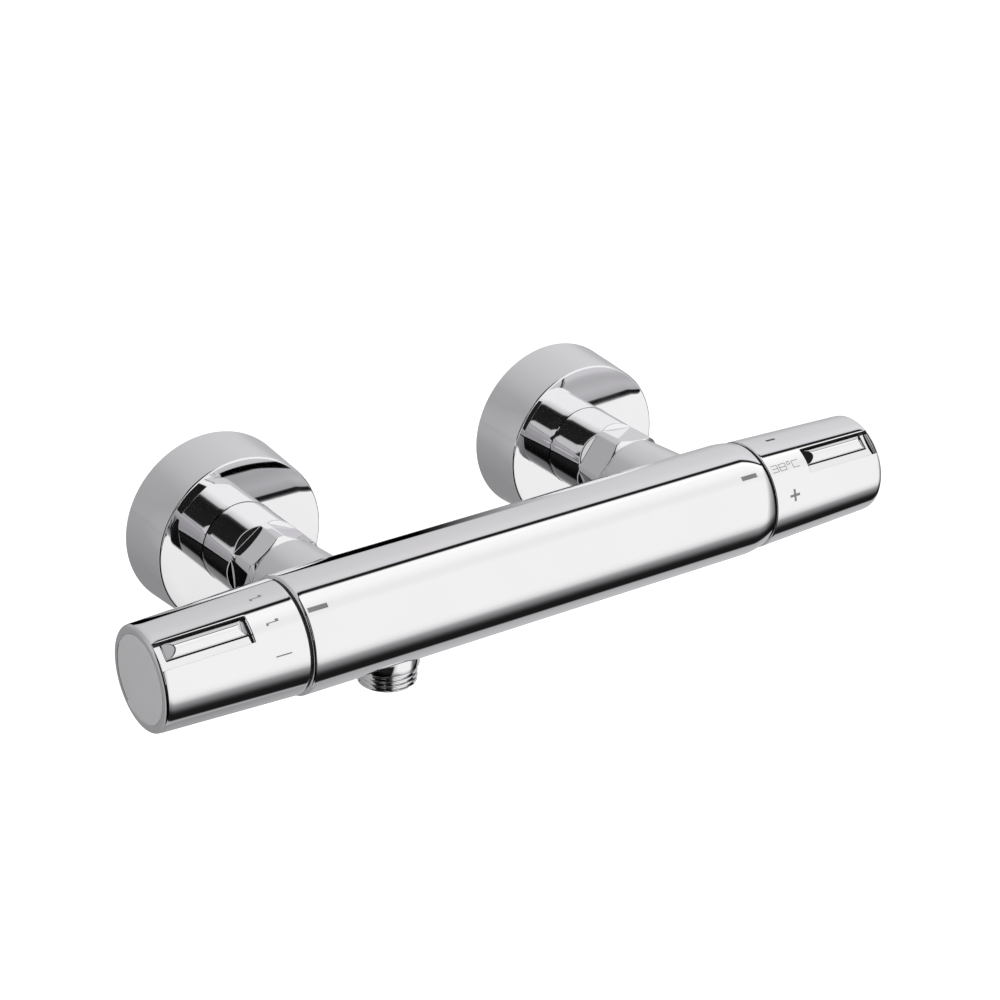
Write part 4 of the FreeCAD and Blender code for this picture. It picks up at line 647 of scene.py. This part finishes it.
def letter(shape, x, arc, wide=3.1, high=2.9, line=0.24):
    """A sign in square strokes: t top, m middle, b bottom, l left, r right, beside one another."""
    top, low, inner = arc + high, arc + line, arc + high - line
    strokes = {"t": (x, x + wide, inner, top), "b": (x, x + wide, arc, low),
               "m": (x + line, x + wide - line, arc + (high - line) / 2, arc + (high + line) / 2),
               "l": (x, x + line, low, inner), "r": (x + wide - line, x + wide, low, inner)}
    return [strokes[key] for key in shape]


def cross(x, size, line):
    """A plus of three strokes: the upright and an arm on either side of it."""
    half, edge = size / 2, line / 2
    return [(x - edge, x + edge, -half, half), (x - half, x - edge, -edge, edge),
            (x + edge, x + half, -edge, edge)]


def lever(x):
    """A small sign of a bar with a foot at one end and a head at the other."""
    half, line, high = 2.3, 0.16, 0.8
    return [(x - half, x + half, -line, line), (x + 1.5, x + half, -high, -line),
            (x - half, x - 1.1, line, high)]


# Signs by handle and print: degrees above the horizontal, and strokes (x0, x1, arc0, arc1).
SIGNS = {
    "flow": {"grey": ((78.9, lever(109.7)), (47.5, lever(109.0)), (14.5, [(105.3, 111.1, -0.22, 0.22)]))},
    "temp": {"grey": ((47.6, letter("tmbr", 100.3, -1.3) + letter("tmblr", 104.1, -1.3)
                       + letter("tblr", 108.0, 0.4, 1.4, 1.4) + letter("tbl", 110.2, -1.3)),
                      (15.4, cross(107.4, 4.6, 0.95))),
             "dark": ((87.9, [(107.8, 112.0, -0.5, 0.5)]),)},
}
INDEX_MARKS = {"flow": (88.6, 96.1), "temp": (85.7, 92.7)}
INDEX_HALF = 0.85


# ---------------------------------------------------------------- materials

def surface_group(name, outputs):
    """An empty node group with a scale and an amount going in and the named masks coming out."""
    group = bpy.data.node_groups.new(name, "ShaderNodeTree")
    for label, default in (("Scale", 1.0), ("Amount", 0.5)):
        socket = group.interface.new_socket(label, in_out="INPUT", socket_type="NodeSocketFloat")
        socket.default_value = default
    for label in outputs:
        group.interface.new_socket(label, in_out="OUTPUT", socket_type="NodeSocketFloat")
    return group


def node(tree, kind, **values):
    """A new node with its properties and unlinked inputs set."""
    made = tree.nodes.new(kind)
    for key, value in values.items():
        if key in made.inputs:
            made.inputs[key].default_value = value
        else:
            setattr(made, key, value)
    return made


def combined(tree, a, b, operation="MULTIPLY"):
    """The output of a Math node over two numbers or sockets."""
    made = node(tree, "ShaderNodeMath", operation=operation)
    for index, value in enumerate((a, b)):
        if isinstance(value, (int, float)):
            made.inputs[index].default_value = value
        else:
            tree.links.new(value, made.inputs[index])
    return made.outputs[0]


def wear_group():
    """Handling and limescale: broad cloudy patches, and small dried specks of water."""
    group = surface_group("Valve surface wear", ("Patches", "Specks"))
    inside, outside = node(group, "NodeGroupInput"), node(group, "NodeGroupOutput")
    place = node(group, "ShaderNodeTexCoord")
    cloud = node(group, "ShaderNodeTexNoise", Detail=4.0, Roughness=0.6)
    group.links.new(place.outputs["Object"], cloud.inputs["Vector"])
    group.links.new(combined(group, inside.outputs["Scale"], 38.0), cloud.inputs["Scale"])
    spot = node(group, "ShaderNodeTexVoronoi", feature="F1")
    group.links.new(place.outputs["Object"], spot.inputs["Vector"])
    group.links.new(combined(group, inside.outputs["Scale"], 320.0), spot.inputs["Scale"])
    soft = node(group, "ShaderNodeMapRange", **{"From Min": 0.42, "From Max": 0.66})
    group.links.new(cloud.outputs["Fac"], soft.inputs["Value"])
    dot = node(group, "ShaderNodeMapRange", **{"From Min": 0.16, "From Max": 0.08})
    group.links.new(spot.outputs["Distance"], dot.inputs["Value"])
    group.links.new(combined(group, soft.outputs[0], inside.outputs["Amount"]), outside.inputs["Patches"])
    few = combined(group, combined(group, dot.outputs[0], soft.outputs[0]), inside.outputs["Amount"])
    group.links.new(few, outside.inputs["Specks"])
    return group


def material(name, colour, roughness, metallic=0.0, scale=1.0, patches=0.05, shade=0.0, grain=None, **inputs):
    """A finish whose roughness gains from patches and specks of wear, whose colour darkens by shade
    in the patches, and whose bump is a fine grain of (size in millimetres, height in millimetres)."""
    made = bpy.data.materials.new(name)
    made.use_nodes = True
    tree = made.node_tree
    shader = tree.nodes["Principled BSDF"]
    shader.inputs["Metallic"].default_value = metallic
    for key, value in inputs.items():
        shader.inputs[key].default_value = value
    wear = node(tree, "ShaderNodeGroup", node_tree=bpy.data.node_groups["Valve surface wear"])
    wear.inputs["Scale"].default_value = scale
    wear.inputs["Amount"].default_value = 1.0
    rough = combined(tree, combined(tree, wear.outputs["Patches"], patches), roughness, "ADD")
    rough = combined(tree, rough, combined(tree, wear.outputs["Specks"], patches * 1.5), "ADD")
    tree.links.new(rough, shader.inputs["Roughness"])
    tone = node(tree, "ShaderNodeMix", data_type="RGBA", blend_type="MULTIPLY")
    for socket in tone.inputs:
        if socket.name == "A" and socket.type == "RGBA":
            socket.default_value = colour
        if socket.name == "B" and socket.type == "RGBA":
            socket.default_value = (1 - shade, 1 - shade, 1 - 0.9 * shade, 1)
    tree.links.new(wear.outputs["Patches"], tone.inputs["Factor"])
    tree.links.new([out for out in tone.outputs if out.type == "RGBA"][0], shader.inputs["Base Color"])
    if grain:
        place = node(tree, "ShaderNodeTexCoord")
        noise = node(tree, "ShaderNodeTexNoise", Scale=1.0 / (grain[0] * MM), Detail=3.0)
        bump = node(tree, "ShaderNodeBump", Strength=1.0, Distance=grain[1] * MM)
        tree.links.new(place.outputs["Object"], noise.inputs["Vector"])
        tree.links.new(noise.outputs["Fac"], bump.inputs["Height"])
        tree.links.new(bump.outputs["Normal"], shader.inputs["Normal"])
    return made


def finish(name):
    """The finish of that name, once MakeFinishes has run."""
    return bpy.data.materials["valve_" + name]


# ---------------------------------------------------------------- operators

class MakeFinishes(bpy.types.Operator):
    """Make the procedural finishes and dress the CAD's inner pieces in them"""
    bl_idname = "valve.make_finishes"
    bl_label = "Finishes"

    def execute(self, context):
        c = context.scene.valve_finish
        wear_group()
        material("valve_chrome", c.chrome, 0.018, 1.0, patches=0.035, shade=0.012, grain=(9.0, 0.0016))
        material("valve_brass", c.brass, 0.26, 1.0, scale=2.0, patches=0.12, shade=0.25, grain=(0.5, 0.004))
        material("valve_satin", c.satin, 0.32, 0.6, scale=2.0, patches=0.04, shade=0.02, grain=(0.2, 0.001))
        # Rubber dresses real washers and seals, and also the dark strips of painted shade in each handle's
        # recess and round its button.
        material("valve_rubber", c.rubber, 0.62, scale=3.0, patches=0.15, shade=0.1, grain=(0.3, 0.01),
                 **{"Specular IOR Level": 0.1})
        material("valve_dark_plastic", c.dark_plastic, 0.42, scale=3.0, patches=0.12, shade=0.15,
                 grain=(0.4, 0.006))
        material("valve_white_plastic", c.white_plastic, 0.38, scale=3.0, patches=0.1, shade=0.06,
                 grain=(0.6, 0.004))
        material("valve_ceramic", c.ceramic, 0.2, scale=4.0, patches=0.08, shade=0.05, grain=(0.2, 0.001))
        material("valve_steel", c.steel, 0.24, 1.0, scale=3.0, patches=0.12, shade=0.2, grain=(0.3, 0.002))
        material("valve_copper", c.copper, 0.3, 1.0, scale=2.0, patches=0.15, shade=0.3, grain=(0.4, 0.003))
        material("valve_print_dark", c.print_dark, 0.5, scale=4.0, patches=0.1, shade=0.1)
        material("valve_print_grey", c.print_grey, 0.45, scale=4.0, patches=0.1, shade=0.1)
        for name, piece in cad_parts.items():
            piece.data.materials.clear()
            piece.data.materials.append(finish(finish_of(name)))
        return {"FINISHED"}


def finish_of(name):
    """The finish of a CAD node by the kind of piece it is."""
    kinds = (("connector", "brass"), ("tail", "brass"), ("flow_housing", "brass"), ("retaining", "brass"),
             ("spindle", "brass"), ("regulating", "brass"), ("washer", "rubber"), ("seal", "rubber"),
             ("check_housing", "white_plastic"), ("poppet", "white_plastic"), ("carrier", "white_plastic"),
             ("stop_ring", "dark_plastic"), ("thermo_housing", "dark_plastic"),
             ("shuttle", "dark_plastic"), ("disc", "ceramic"), ("spring", "steel"), ("screw", "steel"),
             ("wax", "copper"))
    return next((look for word, look in kinds if word in name), "chrome")


class MakeBar(bpy.types.Operator):
    """Make the bar with its two inlet necks, bored for the outlet"""
    bl_idname = "valve.make_bar"
    bl_label = "Bar"

    def execute(self, context):
        bar, chrome = in_mm(context.scene.valve_bar), finish("chrome")
        body = carved("bar_body", [bar_shell(bar)], [under_bar(outlet_hole(), bar)], chrome)
        necks = build("inlet_necks", [neck_shell(bar, side) for _, side in INLETS], chrome)
        for piece in (body, necks):
            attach(piece, "valve")
            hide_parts("valve_body")
        return {"FINISHED"}


class MakeOutlet(bpy.types.Operator):
    """Make the threaded hose outlet under the bar"""
    bl_idname = "valve.make_outlet"
    bl_label = "Outlet"

    def execute(self, context):
        bar, inlet = in_mm(context.scene.valve_bar), in_mm(context.scene.valve_inlet)
        shell = under_bar(outlet_shell(inlet), bar)
        piece = build("hose_outlet_thread", [shell], finish("chrome"), crease=50)
        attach(piece, "valve")
        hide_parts("outlet_nipple")
        return {"FINISHED"}


class MakeInlets(bpy.types.Operator):
    """Make the rosettes, union nuts and eccentric connectors of both inlets"""
    bl_idname = "valve.make_inlets"
    bl_label = "Inlets"

    def execute(self, context):
        bar, inlet = in_mm(context.scene.valve_bar), in_mm(context.scene.valve_inlet)
        for name, side in INLETS:
            rosette = on_inlet(rosette_shell(inlet), side, bar)
            nut = on_inlet(nut_shell(inlet, getattr(inlet, name + "_turn")), side, bar)
            connector = connector_shells(inlet, bar, side)
            pieces = (("rosette_cover", [rosette], "chrome", f"{name}_cover", "rosette"),
                      ("nut_hexed", [nut], "chrome", f"{name}_nut", "union_nut"),
                      ("connector_threaded", connector, "brass", "valve", "connector"))
            for label, shells, look, body, cad in pieces:
                piece = build(f"{name}_{label}", shells, finish(look), crease=40)
                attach(piece, body)
                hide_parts(f"{name}_{cad}")
        return {"FINISHED"}


class MakeHandles(bpy.types.Operator):
    """Make both handles with their recesses, press buttons and end caps"""
    bl_idname = "valve.make_handles"
    bl_label = "Handles"

    def execute(self, context):
        bar, handle = in_mm(context.scene.valve_bar), in_mm(context.scene.valve_handle)
        for name, side in SIDES:
            recess = tilted(handle.index, side, bar)
            pieces = (("grip_shell", placed(handle_shell(handle), *recess), "chrome", "grip", "handle"),
                      ("press_button", placed(button_shell(handle), *recess), "chrome", "press", "button"),
                      ("end_cap", cap_shell(handle, side, bar), "satin", "grip", "handle_cap"),
                      # The recess's strip and the button's sheet are dark rubber pieces of painted shade.
                      ("recess_painted_shade", placed(painted_shade_strip_shell(handle), *recess), "rubber", "grip", None),
                      ("button_painted_shade", placed(painted_shade_gap_shell(handle), *recess), "rubber", "press", None))
            for label, shell, look, body, cad in pieces:
                piece = build(f"{name}_{label}", [shell], finish(look))
                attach(piece, f"{name}_{body}")
                if cad:
                    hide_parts(f"{name}_{cad}")
        return {"FINISHED"}


class MakeMarks(bpy.types.Operator):
    """Make the index marks on the bar and the signs on the handles"""
    bl_idname = "valve.make_marks"
    bl_label = "Marks"

    def execute(self, context):
        bar, handle = in_mm(context.scene.valve_bar), in_mm(context.scene.valve_handle)
        for name, side in SIDES:
            mark = [(*INDEX_MARKS[name], -INDEX_HALF, INDEX_HALF)]
            shells = wrapped(mark, lambda x: bar_outline(bar, side * x), bar.mark_angle, side, bar)
            piece = build(f"{name}_index_mark", shells, finish("print_grey"))
            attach(piece, "valve")
            for look, signs in SIGNS[name].items():
                shells = []
                for degrees, strokes in signs:
                    shells += wrapped(strokes, lambda x: taper(handle, x), math.radians(degrees), side, bar)
                piece = build(f"{name}_signs_{look}", shells, finish("print_" + look))
                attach(piece, f"{name}_grip")
        return {"FINISHED"}


class MakeStage(bpy.types.Operator):
    """Make the camera, the studio's light and the floor"""
    bl_idname = "valve.make_stage"
    bl_label = "Stage"

    def execute(self, context):
        scene = context.scene
        scene.camera = studio_camera(scene)
        scene.view_settings.view_transform = "Standard"
        floor = build("studio_floor", [block(*flat_sheet(-350.0, 6000.0))], floor_material())
        floor.visible_glossy = False
        studio_world(scene)
        return {"FINISHED"}


def studio_camera(scene):
    """A camera where the photographer's stood. Its back axis has the given azimuth from the front
    and elevation; its right axis is level before the roll about the back axis."""
    azimuth, elevation, roll = np.radians(CAMERA_ANGLES)
    back = np.array([np.sin(azimuth) * np.cos(elevation), -np.cos(azimuth) * np.cos(elevation),
                     np.sin(elevation)])
    right = np.cross([0, 0, 1], back)
    right /= np.linalg.norm(right)
    axes = np.stack([right, np.cross(back, right), back])
    c, s = np.cos(roll), np.sin(roll)
    axes = np.array([[c, -s, 0], [s, c, 0], [0, 0, 1]]) @ axes
    lens = bpy.data.cameras.new("studio_camera")
    lens.sensor_width, lens.lens, lens.clip_start = SENSOR_WIDTH, FOCAL_LENGTH, 0.01
    camera = bpy.data.objects.new("studio_camera", lens)
    scene.collection.objects.link(camera)
    camera.matrix_world = Matrix.Translation(CAMERA_PLACE) @ Matrix(axes.T.tolist()).to_4x4()
    return camera


def flat_sheet(height, half):
    """Two flat 2 x 2 grids, a floor's top and its underside."""
    thickness = 20.0
    x, y = np.meshgrid([-half, half], [-half, half], indexing="ij")
    return [np.stack([x, y, 0 * x + height - down], -1) for down in (0.0, thickness)]


def floor_material():
    """Pale matt floor; to the camera it also glows, so that it is white but keeps its shadow."""
    made = bpy.data.materials.new("studio_floor")
    made.use_nodes = True
    tree = made.node_tree
    shader = tree.nodes["Principled BSDF"]
    shader.inputs["Base Color"].default_value = (0.85, 0.85, 0.85, 1)
    shader.inputs["Roughness"].default_value = 0.9
    shader.inputs["Emission Color"].default_value = (1, 1, 1, 1)
    path = node(tree, "ShaderNodeLightPath")
    glow = combined(tree, path.outputs["Is Camera Ray"], 0.5)
    tree.links.new(glow, shader.inputs["Emission Strength"])
    return made


# The camera: metres, degrees (azimuth, elevation, roll) and millimetres.
CAMERA_PLACE, CAMERA_ANGLES = (-0.48715, -0.78054, 0.43035), (-34.66, 25.697, -0.486)
SENSOR_WIDTH, FOCAL_LENGTH = 36.0, 97.206

# Brightness over the direction's angle about X: 0 is the front, 90 above, -90 below.
STUDIO = ((-180, 0.50), (-150, 0.45), (-120, 0.52), (-95, 0.44), (-88, 0.40), (-84, 0.010), (-68, 0.012),
          (-62, 0.045), (-54, 0.17), (-46, 0.32), (-38, 0.72), (-30, 0.90), (-22, 0.94), (50, 0.94),
          (58, 0.89), (66, 0.88), (74, 0.94), (84, 1.0), (98, 1.0), (100, 0.01), (105.5, 0.01),
          (107.5, 0.65), (114, 0.68), (130, 0.63), (150, 0.61), (165, 0.58), (180, 0.50))
# Strengths over the direction's X: towards the front, then towards the wall above and below.
SHUTTERS = ((-1.0, 0.02), (-0.24, 0.012), (-0.17, 0.05), (-0.12, 0.62), (-0.05, 0.80), (0.10, 1.0),
            (0.79, 1.0), (0.86, 0.50), (0.92, 0.15), (1.0, 0.20))
CARD = ((-1.0, 0.0), (-0.71, 0.0), (-0.69, 0.65), (-0.59, 0.65), (-0.57, 0.0), (1.0, 0.0))
WALL_ABOVE = ((-1.0, 0.95), (-0.82, 0.92), (-0.65, 0.75), (0.0, 0.92), (0.4, 1.0), (0.7, 1.12), (1.0, 1.1))
WALL_BELOW = ((-1.0, 0.95), (-0.82, 0.92), (-0.65, 0.70), (-0.3, 0.60), (0.2, 0.60), (0.38, 0.68),
              (0.47, 1.0), (1.0, 1.1))
# The dark flag towards the wall: its share over the direction's X, and over its Z.
FLAG_ACROSS = ((-1.0, 0.0), (0.18, 0.0), (0.22, 1.0), (0.49, 1.0), (0.53, 0.0), (1.0, 0.0))
FLAG_HEIGHT = ((-1.0, 0.0), (-0.27, 0.0), (-0.23, 1.0), (0.20, 1.0), (0.24, 0.0), (1.0, 0.0))


def ramp_of(tree, value, stops, low, high, tint=(1, 1, 1)):
    """A ramp with stops at values between low and high; its dim greys take the tint."""
    made = node(tree, "ShaderNodeValToRGB")
    tree.links.new(combined(tree, combined(tree, value, -low, "ADD"), 1 / (high - low)), made.inputs["Fac"])
    elements = made.color_ramp.elements
    elements[0].position, elements[1].position = 0.0, 1.0
    for place, _ in stops[1:-1]:
        elements.new((place - low) / (high - low))
    for element, (_, level) in zip(elements, stops):
        element.color = [level * (part if level < 0.7 else 1) for part in tint] + [1]
    return made.outputs["Color"]


def ranged(tree, value, start, stop):
    """0 before start and 1 past stop, straight between."""
    made = node(tree, "ShaderNodeMapRange", **{"From Min": start, "From Max": stop})
    tree.links.new(value, made.inputs["Value"])
    return made.outputs[0]


def leaning(tree, x, held, limit, zero, degrees):
    """A lean of some degrees for each unit of the direction's X past zero, held beyond the limit."""
    return combined(tree, combined(tree, combined(tree, x, limit, held), -zero, "ADD"), degrees)


def studio_world(scene):
    """Soft studio seen by polished metal: pale cards and dark flags along the valve, a ramp over the
    direction's angle about X from the front, which leans with X; towards the front, shutters darken
    the far left and the far right, but for one narrow card; towards the wall, strengths of its own
    above and below, less one dark flag. Other rays see a white room."""
    world = bpy.data.worlds.new("studio")
    scene.world = world
    world.use_nodes = True
    tree = world.node_tree
    out, sky = tree.nodes["World Output"], tree.nodes["Background"]
    place = node(tree, "ShaderNodeTexCoord")
    split = node(tree, "ShaderNodeSeparateXYZ")
    tree.links.new(place.outputs["Generated"], split.inputs[0])
    x, y, z = split.outputs
    turn = combined(tree, combined(tree, z, combined(tree, y, -1.0), "ARCTAN2"), 180 / math.pi)
    below = leaning(tree, x, "MAXIMUM", 0.05, 0.45, 30.0)
    above = leaning(tree, x, "MINIMUM", 0.5, 0.5, -38.0)
    lean = combined(tree, combined(tree, below, ranged(tree, z, 0.1, -0.1)),
                  combined(tree, above, ranged(tree, z, -0.1, 0.1)), "ADD")
    cards = ramp_of(tree, combined(tree, turn, lean, "ADD"), STUDIO, -180, 180, (1.0, 0.99, 1.015))
    tree.links.new(cards, sky.inputs["Color"])
    across = combined(tree, x, combined(tree, z, -0.15), "ADD")
    card = combined(tree, ramp_of(tree, x, CARD, -1, 1), ranged(tree, z, 0.04, 0.08))
    open_share = combined(tree, ramp_of(tree, across, SHUTTERS, -1, 1), card, "MAXIMUM")
    wall = combined(tree, combined(tree, ramp_of(tree, x, WALL_BELOW, -1, 1), ranged(tree, z, 0.1, -0.1)),
                  combined(tree, ramp_of(tree, x, WALL_ABOVE, -1, 1), ranged(tree, z, -0.1, 0.1)), "ADD")
    flag = combined(tree, ramp_of(tree, x, FLAG_ACROSS, -1, 1), ramp_of(tree, z, FLAG_HEIGHT, -1, 1))
    wall = combined(tree, wall, combined(tree, 1.0, flag, "SUBTRACT"))
    share = combined(tree, combined(tree, wall, ranged(tree, y, -0.02, 0.02)),
                   combined(tree, open_share, ranged(tree, y, 0.02, -0.02)), "ADD")
    tree.links.new(share, sky.inputs["Strength"])
    room = node(tree, "ShaderNodeBackground", Color=(1, 1, 1, 1), Strength=0.85)
    seen = node(tree, "ShaderNodeBackground", Color=(1, 1, 1, 1), Strength=1.0)
    path = node(tree, "ShaderNodeLightPath")
    polished, plain = node(tree, "ShaderNodeMixShader"), node(tree, "ShaderNodeMixShader")
    tree.links.new(path.outputs["Is Glossy Ray"], polished.inputs[0])
    tree.links.new(room.outputs[0], polished.inputs[1])
    tree.links.new(sky.outputs[0], polished.inputs[2])
    tree.links.new(path.outputs["Is Camera Ray"], plain.inputs[0])
    tree.links.new(polished.outputs[0], plain.inputs[1])
    tree.links.new(seen.outputs[0], plain.inputs[2])
    tree.links.new(plain.outputs[0], out.inputs["Surface"])


class ValvePanel(bpy.types.Panel):
    """Steps that build the valve, in order"""
    bl_idname = "VIEW3D_PT_valve"
    bl_label = "Shower valve"
    bl_space_type = "VIEW_3D"
    bl_region_type = "UI"
    bl_category = "Valve"

    def draw(self, context):
        for step in STEPS:
            self.layout.operator(step.bl_idname)


STEPS = (MakeStage, MakeFinishes, MakeBar, MakeOutlet, MakeInlets, MakeHandles, MakeMarks)
CLASSES = tuple(group for _, group in GROUPS) + STEPS + (ValvePanel,)


def register():
    for item in CLASSES:
        bpy.utils.register_class(item)
    for name, group in GROUPS:
        setattr(bpy.types.Scene, name, PointerProperty(type=group))


def unregister():
    for name, _ in GROUPS:
        delattr(bpy.types.Scene, name)
    for item in reversed(CLASSES):
        bpy.utils.unregister_class(item)


def main():
    register()
    for step in STEPS:
        family, action = step.bl_idname.split(".")
        if getattr(getattr(bpy.ops, family), action)() != {"FINISHED"}:
            raise RuntimeError(step.bl_label + " was not made")


if __name__ == "__main__":
    main()
